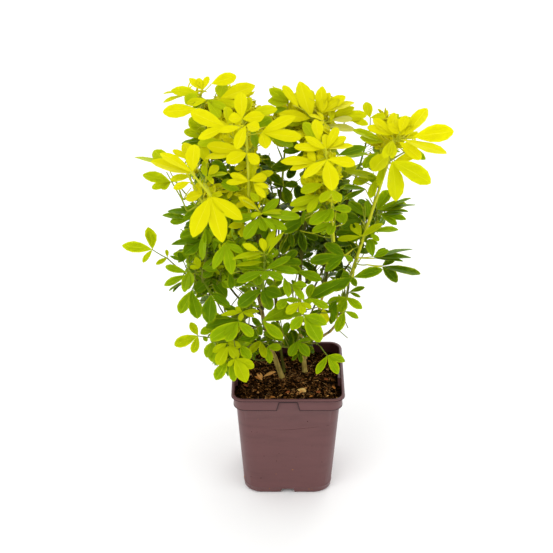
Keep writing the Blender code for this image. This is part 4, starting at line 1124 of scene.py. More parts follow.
def cut(obj, others):
    """Take others from obj by one Boolean on a collection, then drop them."""
    tools = bpy.data.collections.new("tools")
    bpy.context.scene.collection.children.link(tools)
    for other in others:
        bpy.context.scene.collection.objects.unlink(other)
        tools.objects.link(other)
    step = obj.modifiers.new("cut", "BOOLEAN")
    step.operation, step.operand_type, step.collection = "DIFFERENCE", "COLLECTION", tools
    graph = bpy.context.evaluated_depsgraph_get()
    mesh = bpy.data.meshes.new_from_object(obj.evaluated_get(graph))
    obj.modifiers.clear()
    obj.data = mesh
    for other in list(tools.objects):
        bpy.data.objects.remove(other)
    bpy.data.collections.remove(tools)


def make_pot(finishes):
    """The pot's shell: the outside less the hollow, the tabs, the notches and their slots.

    It takes the second finish, a darker plum of painted shade, on the faces of its hollow, which look
    in.
    """
    points, faces = closed_skin(pot_inside(0, POT_HEIGHT + 10))
    hollow = loose("hollow", points, listed(faces))
    cut(hollow, [loose("block", *block) for block in notch_blocks(WALL) + tab_blocks(WALL)])
    points, faces = closed_skin(pot_outside())
    pot = loose("pot_shell", points, listed(faces))
    blocks = notch_blocks(0) + tab_blocks(0) + drainage_slots()
    cut(pot, [hollow] + [loose("block", *block) for block in blocks])
    pot.data.materials.clear()
    for finish in finishes:
        pot.data.materials.append(finish)
    count = len(pot.data.polygons)
    places, ways = np.zeros(count * 3), np.zeros(count * 3)
    pot.data.polygons.foreach_get("center", places)
    pot.data.polygons.foreach_get("normal", ways)
    places, ways = places.reshape(-1, 3), ways.reshape(-1, 3)
    # Faces that look in, below the lip, take the darker plum: painted shade on the hollow's walls.
    inward = (places[:, :2] * ways[:, :2]).sum(axis=1) < 0
    inside = inward & (places[:, 2] < (POT_HEIGHT - LIP_ROUND) * MM)
    inside &= np.abs(places[:, :2]).max(axis=1) > (FOOT_HALF - 2) * MM
    pot.data.polygons.foreach_set("material_index", inside.astype(np.int32))
    pot.data.shade_smooth()
    pot.data.set_sharp_from_angle(angle=math.radians(35))
    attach(pot, "root")
    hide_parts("pot")


def make_pot_painted_shade_lines(finish):
    """Painted shade in the pot's corners, as dark lines: under the lip, under the band, round each
    tab.

    Each line is a thin tube, half sunk in the corner. Its path is a rounded square, or the tab's
    three edges.
    """
    bundle = Bundle()
    lip = rounded_square(LIP_HALF - 0.1, corner_radius(POT_HEIGHT), POT_HEIGHT - LIP_HEIGHT + 1.2)
    lip = np.vstack([lip, lip[:1]])
    bundle.add(*tube(lip, np.full(len(lip), LIP_LINE), 6))
    half, round_by = BAND_HALF - BAND_DRAFT, corner_radius(BAND_FOOT)
    gap = TAB_WIDTH_FOOT / 2 + 0.6
    for quarter in range(4):
        arc = np.linspace(0, math.pi / 2, CORNER_STEPS) + quarter * math.pi / 2
        middle = np.sign([math.cos(arc.mean()), math.sin(arc.mean())]) * (half - round_by)
        bend = middle + np.column_stack([np.cos(arc), np.sin(arc)]) * round_by
        first, last = bend[0].copy(), bend[-1].copy()
        axis = quarter % 2
        first[1 - axis] = math.copysign(gap, first[1 - axis])
        last[axis] = math.copysign(gap, last[axis])
        path = np.vstack([first, bend, last])
        path = np.column_stack([path, np.full(len(path), BAND_FOOT + 1.4)])
        bundle.add(*tube(path, np.full(len(path), BAND_LINE), 6))
    top, foot = POT_HEIGHT - LIP_HEIGHT - TAB_BELOW_LIP, BAND_FOOT + 1.2
    low, high = (half, TAB_WIDTH_FOOT / 2), (BAND_HALF - 0.2, TAB_WIDTH_TOP / 2)
    corners = np.array([(*low, foot), (*high, top), (high[0], -high[1], top),
                        (low[0], -low[1], foot)])
    path = resampled(corners, 1.5)[0]
    for quarter in range(4):
        turn = math.radians(90) * quarter
        reach, across, height = path.T
        turned = np.column_stack([reach * math.cos(turn) - across * math.sin(turn),
                                  reach * math.sin(turn) + across * math.cos(turn), height])
        bundle.add(*tube(turned, np.full(len(turned), TAB_LINE), 6))
    bundle.make("pot_painted_shade_lines", [finish])


def on_front_wall(place):
    """Where a sight ray meets the front wall, y = -(foot half + slope times height)."""
    slope = (WALL_TOP_HALF - FOOT_HALF) / BAND_FOOT
    ray = sight_to(place)
    return EYE - ray * (FOOT_HALF + slope * EYE[2] + EYE[1]) / (ray[1] + slope * ray[2])


def make_pot_specks(finishes):
    """Specks and a smear on the front wall where the photo shows them, mostly sunk in it.

    A speck is a flat ball, and the smear a thin tube.
    """
    bundle = Bundle()
    turn = np.arange(6) * math.pi / 3
    for kind, size, place in POT_SPECKS:
        rings = [np.column_stack([math.cos(lift) * size * np.cos(turn),
                                  np.full(6, -math.sin(lift) * size * 0.4),
                                  math.cos(lift) * size * np.sin(turn)]) for lift in (-1.2, 0, 1.2)]
        points, faces = closed_skin(rings)
        bundle.add(points + on_front_wall(place), faces, kind)
    path = resampled(np.array([on_front_wall(place) for place in POT_SMEAR]), 2.0)[0]
    width = SMEAR_LINE * (0.4 + 0.6 * np.sin(np.linspace(0, math.pi, len(path))))
    bundle.add(*tube(path + (0, 0.3, 0), width, 6), 2)
    bundle.make("pot_specks", finishes)


def lumps(x, y, size, seed):
    """Soft random relief from about -1 to 1: the mean of waves that run in random directions."""
    dice = np.random.default_rng(seed)
    turn = dice.uniform(0, 2 * math.pi, 14)
    phase = dice.uniform(0, 2 * math.pi, 14)
    pace = dice.uniform(0.7, 1.4, 14) * 2 * math.pi / size
    waves = np.cos((x[..., None] * np.cos(turn) + y[..., None] * np.sin(turn)) * pace + phase)
    return waves.mean(axis=-1) * 2.4


def soil_height(x, y):
    """Height of the soil: level in the middle, lower along the wall, with lumps of three sizes."""
    edge = np.maximum(np.abs(x), np.abs(y))
    wall = BAND_HALF - WALL - GAP
    drop = SOIL_EDGE_DROP * np.clip((edge - (wall - SOIL_SHOULDER)) / SOIL_SHOULDER, 0, 1)
    relief = 0.5 * lumps(x, y, 34, 1) + 0.35 * lumps(x, y, 11, 2) + 0.25 * lumps(x, y, 4.5, 3)
    return SOIL_TOP - 0.4 - drop + SOIL_RELIEF * relief


def make_soil(finish):
    """Plain sides along the pot's inside, and a relief on top: rings drawn in to the middle."""
    sides = pot_inside(GAP, SOIL_TOP - SOIL_EDGE_DROP)
    rim = sides[-1]
    rings = []
    for share in np.linspace(1, 0.015, 64):
        ring = rim * (share, share, 1)
        ring[:, 2] = soil_height(ring[:, 0], ring[:, 1])
        rings.append(ring)
    points, faces = closed_skin(sides[:-1] + rings)
    soil = piece("soil_surface", points, listed(faces), [finish], ["soil"], sharp=80)
    blocks = notch_blocks(WALL + GAP) + tab_blocks(WALL + GAP)
    cut(soil, [loose("block", *block) for block in blocks])


def soil_dice(dice, reach=66):
    """A random place on the soil, and how far it is towards the front, from 0 to 1, where the crumbs
    are paler as painted light.
    """
    x, y = vary(dice, reach), vary(dice, reach)
    return x, y, (0.3 * x - y + 1.3 * reach) / (2.6 * reach)


def make_crumbs(finishes):
    """Crumbs of peat on the soil: small lumpy balls, half sunk, from the darkest to the palest."""
    dice = random.Random("crumbs")
    bundle = Bundle()
    around = np.arange(6) * math.pi / 3
    for _ in range(CRUMBS):
        x, y, front = soil_dice(dice)
        size = 0.4 + 1.9 * dice.random() ** 4
        # Crumbs are paler towards the front: painted light on the soil's unshaded front.
        luck = dice.random() + 0.45 * (front - 0.5)
        kind = sum(luck > limit for limit in (0.42, 0.70, 0.90))
        rings = []
        for lift in (-1.2, -0.4, 0.5, 1.2):
            girth = math.cos(lift) * size * (1 + 0.35 * np.cos(around * 2 + dice.uniform(0, 6)))
            rings.append(np.column_stack([girth * np.cos(around), girth * np.sin(around),
                                          np.full(6, math.sin(lift) * size * 0.6)]))
        points, faces = closed_skin(rings)
        height = float(soil_height(np.array([x]), np.array([y]))[0])
        bundle.add(points + (x, y, height + 0.25 * size), faces, kind)
    bundle.make("soil_crumbs", finishes)


def make_fibres(finishes):
    """Fine root and bark fibres that lie on the soil, bent at random, in three browns."""
    dice = random.Random("fibres")
    bundle = Bundle()
    for _ in range(FIBRES):
        if dice.random() < 0.2:
            x, y = dice.gauss(2, 14), dice.gauss(4, 12)
        else:
            x, y, _ = soil_dice(dice, 64)
        turn, reach = dice.uniform(0, math.pi), dice.uniform(2.5, 10)
        step = np.array([math.cos(turn), math.sin(turn)]) * reach
        bend = (vary(dice, 3), vary(dice, 3), dice.uniform(0.4, 3.0))
        path = curve((x - step[0] / 2, y - step[1] / 2, 0), (x + step[0] / 2, y + step[1] / 2, 0),
                     bend, 5)
        path[:, :2] = np.clip(path[:, :2], -67, 67)
        path[:, 2] += soil_height(path[:, 0], path[:, 1]) + 0.2
        radii = np.linspace(0.22, 0.10, 6) * dice.uniform(0.7, 1.6)
        points, faces = tube(path, radii, 4)
        bundle.add(points, faces, dice.choice((0, 0, 1, 1, 2)))
    bundle.make("root_fibres", finishes)


def make_dry_leaves(finishes):
    """Dead leaves and chips on the soil, each a folded leaflet that lies where the photo shows it."""
    dice = np.random.default_rng(5)
    bundle = Bundle()
    for kind, (foot, tip), width in DRY_BITS:
        ends = []
        for place, lift in ((foot, 0.6), (tip, 1.4)):
            ray = sight_to(place)
            ends.append(EYE + ray * (SOIL_TOP + lift - EYE[2]) / ray[2])
        centre, rib = ends[0], ends[1] - ends[0]
        scale = (centre - EYE) @ SIGHT / FOCAL
        face = unit(UP + np.array([dice.uniform(-0.4, 0.4), dice.uniform(-0.9, 0.1), 0]))
        points = leaflet_points(centre[None], rib[None], face[None], np.zeros(1), dice)[0]
        spine = centre + np.outer(GRID_POINTS[:, 0], rib)
        stretch = width * scale / np.ptp((points - spine) @ unit(np.cross(face, rib)))
        points = spine + (points - spine) * stretch
        bundle.add(points, [GRID_QUADS[:, :4], GRID_ENDS[:, :3]], kind)
    bundle.make("dry_leaves", finishes)


# Stems and boughs

def limb_path(name, paths):
    parent, base, tip, bow, _, _ = LIMBS[name]
    if parent is None:
        start = (*base, SOIL_TOP + GAP)
    else:
        start = along(paths[parent], base)[0]
    return curve(start, tip, bow, LIMB_STEPS)


def limb_radius(name, spots):
    """A limb's radius at each distance from its foot: an even taper, with a flare at a stem's foot."""
    parent, _, _, _, base_radius, tip_radius = LIMBS[name]
    radii = base_radius + (tip_radius - base_radius) * spots / spots[-1]
    if parent is None:
        radii = radii * (1 + FLARE * np.exp(-spots / FLARE_HEIGHT))
    return radii


def make_limb(name, path, finishes):
    """The limb's bark: its taper, swollen at each old leaf joint and ridged along its length.

    At distance s and angle a the radius is the taper times 1, plus a narrow bump at each joint,
    plus three waves in a and s of different pace.
    """
    dice = random.Random(name)
    finer, spots = resampled(path, RING_STEP)
    for _ in range(3):
        finer[1:-1] = (finer[:-2] + 2 * finer[1:-1] + finer[2:]) / 4
    sides = STEM_SIDES if LIMBS[name][0] is None else BOUGH_SIDES
    radii = limb_radius(name, spots)
    swell = np.zeros(len(spots))
    joint = dice.uniform(10, 18)
    while joint < spots[-1] - 4:
        swell += 0.16 * np.exp(-((spots - joint) / 1.6) ** 2)
        joint += dice.uniform(14, 24)
    turn = np.arange(sides)[None] * 2 * math.pi / sides
    s = spots[:, None]
    waves = (0.045 * np.cos(2 * turn + s / 9 + dice.uniform(0, 6))
             + 0.035 * np.cos(3 * turn - s / 5 + dice.uniform(0, 6))
             + 0.025 * np.cos(5 * turn + s / 3 + dice.uniform(0, 6)))
    radii = radii[:, None] * (1 + swell[:, None] + waves)
    points, faces = tube(finer, radii, sides, UP if LIMBS[name][0] is None else None)
    faces = listed(faces)
    middle = np.array([points[face, 2].mean() for face in faces])
    # Faces high up, and every face of the inner boughs, take the dark olive bark: green young wood,
    # darkened as painted shade within the crown.
    shade = middle + 10 * np.cos(np.arange(len(faces)) * 2.4) > YOUNG_WOOD_FROM
    shade |= name not in PALE_LIMBS
    piece("bark_" + name, points, faces, finishes, [name], shade)


# Growth of the foliage

class Leaf:
    """One leaf: a stalk from its root to the point where three leaflets meet."""

    def __init__(self, root, centre, way, length, spread, facing, pair, dice):
        self.root, self.centre, self.pair, self.way = root, centre, pair, way
        side = np.cross(way, facing)
        if np.linalg.norm(side) < 0.1:
            side = np.cross(way, (1.0, 0.0, 0.0))
        side = unit(side)
        face = np.cross(side, way)
        self.face = face
        self.tips, self.faces, self.widths, self.tone = [], [], [0.0] * 3, None
        for hand, share in ((0, 1.0), (-1, SIDE_LEAFLET), (1, SIDE_LEAFLET)):
            turn = math.radians(spread) * hand * dice.uniform(*SPREAD_VARIES)
            rib = way * math.cos(turn) + side * math.sin(turn) - face * abs(hand) * SIDE_DROP
            rib = unit(rib)
            self.tips.append(centre + rib * length * share * dice.uniform(*LEAFLET_VARIES))
            self.faces.append(unit(np.cross(np.cross(rib, face), rib)))


def side_shoot_share(leader, tip):
    """Where a side shoot leaves the leading shoot, so that it leans away by SIDE_SHOOT_LEAN."""
    best, chosen = math.inf, SIDE_SHOOT_FROM[0]
    for share in np.linspace(*SIDE_SHOOT_FROM, 20):
        point, way = along(leader, share)
        reach = tip - point
        lean = math.acos(np.clip(unit(reach) @ way, -1, 1))
        miss = abs(lean - math.radians(SIDE_SHOOT_LEAN))
        if np.linalg.norm(reach) > SIDE_SHOOT_SHORTEST and miss < best:
            best, chosen = miss, share
    return chosen


def grow_shoots(tips, root, root_way):
    """The shoots of one mass: the leader from the limb's tip, then those that leave it."""
    shoots = []
    for tip in tips:
        tip = np.array(tip, float)
        start, way = root, root_way
        if shoots:
            start, way = along(shoots[0], side_shoot_share(shoots[0], tip))
        reach = np.linalg.norm(tip - start)
        bow = (way * SHOOT_AHEAD - UP * SHOOT_SAG) * reach
        shoots.append(curve(start, tip, bow, SHOOT_STEPS))
    return shoots


def grow_leaves(seed, shoots, leaflet):
    """Opposite pairs of leaves down each shoot, each pair turned a quarter from the next.

    Each leaf comes with the number of its shoot.
    """
    dice = random.Random(seed)
    leaves = []
    for order, shoot in enumerate(shoots):
        total = path_length(shoot)
        phase = dice.uniform(0, math.pi)
        for pair, below in enumerate(PAIR_BELOW_TIP):
            below *= leaflet / GROWN_FROM
            if below > total * (1 - (BARE_FORK if order else BARE_FOOT)):
                break
            root, axis = along(shoot, 1 - below / total)
            east = unit(np.cross(axis, (0.0, 1.0, 0.01)))
            north = np.cross(axis, east)
            for half in (0, 1):
                turn = phase + (pair / 2 + half) * math.pi + vary(dice, TURN_VARIES)
                out = east * math.cos(turn) + north * math.sin(turn)
                lean = math.radians(PAIR_LEAN[pair] + vary(dice, ANGLE_VARIES))
                stalk = axis * math.cos(lean) + out * math.sin(lean)
                if pair > 1:
                    stalk = unit(stalk + UP * STALK_LIFT)
                length = leaflet * PAIR_SIZE[pair] * dice.uniform(*SIZE_VARIES)
                centre = root + stalk * length * PAIR_STALK[pair]
                droop = math.radians(PAIR_DROOP[pair] + vary(dice, ANGLE_VARIES))
                way = unit(stalk * math.cos(droop) - UP * math.sin(droop))
                tilt = np.array([vary(dice, FACE_VARIES), vary(dice, FACE_VARIES), 0.0])
                outward = np.append(root[:2] - CROWN_MIDDLE, 0.0) / CROWN_RADIUS
                facing = unit(axis * FACE_AHEAD + UP * FACE_UP + outward * FACE_OUT + tilt)
                leaf = Leaf(root, centre, way, length, dice.uniform(*SPREAD), facing, pair, dice)
                leaf.spray = order
                if dice.random() >= PAIR_FALLEN[pair]:
                    leaves.append(leaf)
    return leaves


def sight_to(place):
    """The way in which the camera sees a place in the photo."""
    across, down = place
    middle = PHOTO_SIDE / 2
    return SIGHT + (EAST * (across - middle) + UPRIGHT * (middle - down)) / FOCAL


def in_photo(points):
    """The places in the photo where points are seen, and how far they are from the camera."""
    away = points - EYE
    far = away @ SIGHT
    middle = PHOTO_SIDE / 2
    places = np.stack([middle + FOCAL * (away @ EAST) / far,
                       middle - FOCAL * (away @ UPRIGHT) / far], axis=-1)
    return places, far


def nearest_root(centre, shoots):
    """Where a leaf of the photo leaves the nearest shoot.

    The root is where the stalk is short, but not too short to show, and doesn't point back down
    the shoot.
    """
    best, root = math.inf, None
    for shoot in shoots:
        for share in np.linspace(0.05, 1, 24):
            point, way = along(shoot, share)
            stalk = centre - point
            reach = np.linalg.norm(stalk)
            back = max(0, -unit(stalk) @ way)
            cost = reach + BACKWARD_COST * back + SHORT_COST * max(0, SHORTEST_STALK - reach)
            if cost < best:
                best, root = cost, point
    return root


class SeenLeaf:
    """A leaf of the photo: its leaflets' tips lie in its plane, where the camera sees them.

    Each leaflet is as wide as the photo shows it once its face is rolled towards the sky.
    """

    def __init__(self, row, shoots, dice):
        depth, self.tone, centre, *tips = row
        ray = sight_to(centre)
        self.centre = EYE + ray * (depth - EYE[1]) / ray[1]
        self.root = nearest_root(self.centre, shoots)
        self.pair, self.spray = None, 0
        facing = unit(UP * SEEN_FACE_UP - SIGHT + [vary(dice, SEEN_FACE_VARIES), 0, 0]
                      + UPRIGHT * vary(dice, SEEN_FACE_VARIES))
        scale = (self.centre - EYE) @ SIGHT / FOCAL
        self.tips, self.faces, self.widths = [], [], []
        for across, down, width in tips:
            away = unit(np.array((across, down)) - centre)
            across, down = (across, down) + SEEN_GROWS[0] * away
            width += SEEN_GROWS[1]
            ray = sight_to((across, down))
            tip = EYE + ray * ((self.centre - EYE) @ facing) / (ray @ facing)
            rib = tip - self.centre
            reach = np.linalg.norm(rib)
            flat = unit(np.cross(rib, ray))
            flat = flat if flat[2] > 0 else -flat
            normal = unit(np.cross(rib, flat))
            normal = normal if normal @ ray < 0 else -normal
            roll = math.radians(dice.uniform(*SEEN_ROLL))
            wide = max(width * scale / math.cos(roll), SEEN_NARROWEST * reach)
            roll = math.acos(min(1.0, width * scale / wide))
            self.tips.append(tip)
            self.faces.append(unit(normal * math.cos(roll) + flat * math.sin(roll)))
            self.widths.append(wide)
        self.way = unit(np.mean(self.tips, axis=0) - self.centre)
        self.twig = None
        stalk = self.centre - self.root
        if np.linalg.norm(stalk) > SEEN_TWIG_FROM:
            end = self.centre - unit(stalk) * SEEN_STALK
            self.twig = curve(self.root, end, -UP * np.linalg.norm(stalk) * 0.08, 5)
            self.root = end


def seen_twig(row, shoots):
    """A twig of the photo: its path from the nearest shoot, and its radii."""
    _, finish, widths, depth, places = row
    rays = [sight_to(place) for place in places]
    points = [EYE + ray * (depth - EYE[1]) / ray[1] for ray in rays]
    root = nearest_root(points[0], shoots)
    path = resampled(np.array([root, *points]), 3.0)[0]
    for _ in range(2):
        path[1:-1] = (path[:-2] + 2 * path[1:-1] + path[2:]) / 4
    scale = (points[0] - EYE) @ SIGHT / FOCAL / 2
    return tube(path, np.linspace(*widths, len(path)) * scale, 6), finish


def in_dense_part(places):
    """Whether all places of the photo, or all but one, lie in the crown's dense part."""
    row = np.round((places[:, 1] - DENSE_FROM) / DENSE_STEP).astype(int)
    inside = [0 <= r < len(DENSE_PART) and any(low <= x <= high for low, high in DENSE_PART[r])
              for r, x in zip(row, places[:, 0])]
    return sum(inside) >= len(inside) - 1


def shows_well(leaf, seen_places, seen_far):
    """Whether a grown leaf leaves the sky open where the photo does, and hides no seen leaf."""
    places, far = in_photo(key_points(leaf))
    if not in_dense_part(places):
        return False
    near = np.linalg.norm(places[:, None] - seen_places[None], axis=2) < HIDE_REACH
    return not (near & (far[:, None] < seen_far[None] + HIDE_DEPTH)).any()


def grow_twigs(seed, shoots):
    """Finer twigs that leave each shoot one after another, each turned by the golden angle."""
    dice = random.Random(seed)
    twigs = []
    for shoot in shoots:
        total = path_length(shoot)
        phase = dice.uniform(0, 2 * math.pi)
        places = np.arange(TWIG_FROM[0] * total, TWIG_FROM[1] * total, TWIG_EVERY)
        for number, place in enumerate(places):
            start, axis = along(shoot, (place + vary(dice, 3)) / total)
            east = unit(np.cross(axis, (0.0, 1.0, 0.01)))
            turn = phase + number * GOLDEN_TURN
            out = east * math.cos(turn) + np.cross(axis, east) * math.sin(turn)
            lean = math.radians(TWIG_LEAN)
            way = unit(axis * math.cos(lean) + out * math.sin(lean) + UP * TWIG_LIFT)
            reach = dice.uniform(*TWIG_LENGTH)
            twigs.append(curve(start, start + way * reach, (axis - UP * 0.5) * reach * 0.1, 5))
    return twigs


def distance_to(points, bones):
    return np.linalg.norm(points[:, None] - bones[None], axis=2).min(axis=1)


def key_points(leaf):
    return np.array([leaf.centre, *leaf.tips, *[(tip + leaf.centre) / 2 for tip in leaf.tips]])


def keeps_its_place(leaf, mass, bones, limbs):
    """Whether a leaf keeps to its mass's space and box, and clear of the limbs and the pot."""
    points = key_points(leaf)
    low, high = np.array(cad_low) / MM - 2, np.array(cad_high) / MM + 2
    if (points < low).any() or (points > high).any():
        return False
    if (points[:, 2] < POT_HEIGHT + 2).any() and (np.abs(points[:, :2]) < LIP_HALF + 3).all():
        return False
    if distance_to(points, limbs).min() < LIMB_CLEAR:
        return False
    own = distance_to(points, bones[mass])
    return all((distance_to(points, other) > own - SPACE_OVERLAP).all()
               for name, other in bones.items() if name != mass)


# Leaves and twigs as meshes

def leaflet_grid():
    """The points and faces that all leaflets share.

    Each point has u, its share of the way along the rib, v, its place across from -1 to 1, and
    its height in half thicknesses. Each face has 0 for the blade, 1 for the midrib, 2 for below.
    """
    across = ((-1, 0), (-0.5, 0.8), (-RIB_HALF, 0.5), (RIB_HALF, 0.5), (0.5, 0.8), (1, 0), (0, -1))
    shares = (1 - np.cos(np.pi * np.arange(1, LEAFLET_STATIONS + 1) / (LEAFLET_STATIONS + 1))) / 2
    points = [(0, 0, 0)] + [(u, v, h) for u in shares for v, h in across] + [(1, 0, 0)]
    tip = len(points) - 1
    quads, ends = [], []
    for station in range(LEAFLET_STATIONS):
        a = 1 + len(across) * station
        b = a + len(across)
        for column in range(5):
            kind = 1 if column == 2 else 0
            if station < LEAFLET_STATIONS - 1:
                quads.append((a + column, b + column, b + column + 1, a + column + 1, kind))
            if station == 0:
                ends.append((0, a + column, a + column + 1, kind))
            if station == LEAFLET_STATIONS - 1:
                ends.append((a + column, tip, a + column + 1, kind))
        for one, other in ((a, a + 6), (a + 6, a + 5)):
            if station < LEAFLET_STATIONS - 1:
                quads.append((one, other, other + 7, one + 7, 2))
            if station == 0:
                ends.append((0, other, one, 2))
            if station == LEAFLET_STATIONS - 1:
                ends.append((one, other, tip, 2))
    return np.array(points), np.array(quads), np.array(ends)


GRID_POINTS, GRID_QUADS, GRID_ENDS = leaflet_grid()


def leaflet_points(centre, rib, face, width, dice):
    """Leaflets as one array of points, by leaflet and then by point of the grid.

    A width of 0 means that it follows from the leaflet's length and height in the crown.

    With length L, half width w(u) = width * L / 2 * u^p * (1 - u)^q over its own peak, a point is
    the centre + rib u + across w v, raised by fold w (1.3 |v| - 0.3 v^2), by waves that grow
    towards the edge, by its half thickness and by an arch curl L u (1 - u).
    """
    count = len(centre)
    u, v, height = (GRID_POINTS[:, k][None] for k in range(3))
    length = np.linalg.norm(rib, axis=1)[:, None]
    across = unit(np.cross(face, rib))
    p, q = OUTLINE_POWERS[0], dice.uniform(*OUTLINE_POWERS[1], (count, 1))
    peak = (p / (p + q)) ** p * (q / (p + q)) ** q
    share = np.clip((centre[:, 2:] - CROWN_FOOT) / (CROWN_TOP - CROWN_FOOT), 0, 1)
    foot, top = LEAFLET_WIDTH
    wide = (foot + (top - foot) * share) * dice.uniform(0.9, 1.12, (count, 1))
    wide = np.where(width[:, None] > 0, width[:, None] / length, wide)
    half = wide * length / 2 * u ** p * (1 - u) ** q / peak
    calm = np.where(width[:, None] > 0, SEEN_FLATNESS, 1.0)
    fold = dice.uniform(*LEAFLET_FOLD, (count, 1)) * np.sqrt(calm)
    curl = dice.uniform(*LEAFLET_CURL, (count, 1)) * calm
    phase = dice.uniform(0, 2 * math.pi, (count, 1))
    sickle = dice.uniform(-LEAFLET_SICKLE, LEAFLET_SICKLE, (count, 1))
    wave = LEAFLET_WAVE * half * np.abs(v) * np.sin(2 * math.pi * 1.4 * u + phase + np.sign(v))
    thick = LEAFLET_THICK / 2 * height * (0.35 + np.sqrt(np.clip(u * (1 - u), 0, 1)))
    rise = 1.3 * np.abs(v) - 0.3 * v ** 2
    lift = fold * half * rise + wave + thick + curl * length * u * (1 - u)
    aside = half * v + sickle * length * u ** 2
    return (centre[:, None] + rib[:, None] * u[..., None] + across[:, None] * aside[..., None]
            + face[:, None] * lift[..., None])


def tone_of(leaf, mass, span, dice_of_spray, twig):
    """The number of a leaf's tone: by its height in its mass, age, luck and depth in the crown, deeper
    being darker as painted shade.
    """
    if leaf.tone is not None:
        return leaf.tone
    top, foot = MASS_TONES[mass]
    level = foot + (top - foot) * np.clip((leaf.centre[2] - span[0]) / (span[1] - span[0]), 0, 1)
    level += TONE_BY_PAIR[leaf.pair] + (TONE_TWIG if twig else 0)
    middle = np.array([*CROWN_MIDDLE])
    depth = 1 - np.linalg.norm(leaf.centre[:2] - middle) / CROWN_RADIUS
    height = np.clip((leaf.centre[2] - TOP_FROM) / (TOP_TO - TOP_FROM), 0, 1)
    # Darker deep in the crown is painted shade, and brighter at the very top partly painted sunlight.
    level += TONE_INSIDE_PAINTED_SHADE * max(0, depth) * (1 - height) + TONE_TOP * height
    level += vary(dice_of_spray, TONE_VARIES)
    return int(np.clip(level * GROWN_TONES, 0, GROWN_TONES - 1))


def make_leaves(mass, leaves, tones, skins):
    """All leaflets of one mass as one piece, with a finish for each tone that it holds."""
    dice = np.random.default_rng(sum(map(ord, mass)))
    counts = [len(leaf.tips) for leaf in leaves]
    centre = np.repeat([leaf.centre for leaf in leaves], counts, axis=0)
    tips = np.array([tip for leaf in leaves for tip in leaf.tips])
    face = np.array([up for leaf in leaves for up in leaf.faces])
    width = np.array([wide for leaf in leaves for wide in leaf.widths])
    points = leaflet_points(centre, tips - centre, face, width, dice)
    offset = (np.arange(len(points)) * len(GRID_POINTS))[:, None, None]
    used = sorted(set(tones))
    finishes = [skins[tone][kind] for tone in used for kind in range(3)]
    base = np.repeat([used.index(tone) * 3 for tone in tones], counts)[:, None]
    quads = (GRID_QUADS[None, :, :4] + offset).reshape(-1, 4)
    ends = (GRID_ENDS[None, :, :3] + offset).reshape(-1, 3)
    kinds = np.concatenate([(base + GRID_QUADS[None, :, 4]).ravel(),
                            (base + GRID_ENDS[None, :, 3]).ravel()])
    piece("leaves_" + mass, points.reshape(-1, 3), quads.tolist() + ends.tolist(), finishes,
          ["foliage_" + mass], kinds, sharp=65)


def make_twigs(mass, shoots, twigs, leaves, finishes):
    """The shoots, twigs and leaf stalks of one mass as one piece."""
    bundle = Bundle()
    roots = np.array([leaf.root for leaf in leaves] + [twig[0] for twig in twigs])
    for order, shoot in enumerate(shoots):
        path, spots = resampled(shoot, 4.0)
        held = np.flatnonzero(distance_to(path, roots) < SHOOT_HOLDS)
        path, spots = path[:max(4, held.max(initial=0) + 1)], spots[:max(4, held.max(initial=0) + 1)]
        leads = order == 0 and "foliage_" + mass in YELLOW_LEADERS
        radii = YELLOW_LEADERS["foliage_" + mass] if leads else SHOOT_RADIUS
        radii = np.linspace(*radii, len(path)) * (SIDE_SHOOT_SIZE if order else 1.0)
        radii *= 1 + 0.12 * np.cos(spots * 2 * math.pi / 14) ** 8
        bundle.add(*tube(path, radii, 8), 1 if leads else 0)
    for twig in twigs:
        bundle.add(*tube(twig, np.linspace(*TWIG_RADIUS, len(twig)), 6), 0)
    for leaf in leaves:
        reach = np.linalg.norm(leaf.centre - leaf.root)
        path = curve(leaf.root, leaf.centre + leaf.way * 0.8, -UP * reach * 0.06, 4)
        seen = leaf.tone is not None
        radii = SEEN_STALK_RADIUS if seen else PETIOLE_RADIUS
        bundle.add(*tube(path, np.linspace(*radii, 5), 5), 1)
        if seen and leaf.twig is not None:
            bundle.add(*tube(leaf.twig, np.linspace(*TWIG_RADIUS, len(leaf.twig)), 6), 0)
    for row in SEEN_TWIGS:
        if row[0] == "foliage_" + mass:
            (points, faces), finish = seen_twig(row, shoots)
            bundle.add(points, faces, finish)
    bundle.make("twigs_" + mass, finishes, ["foliage_" + mass])


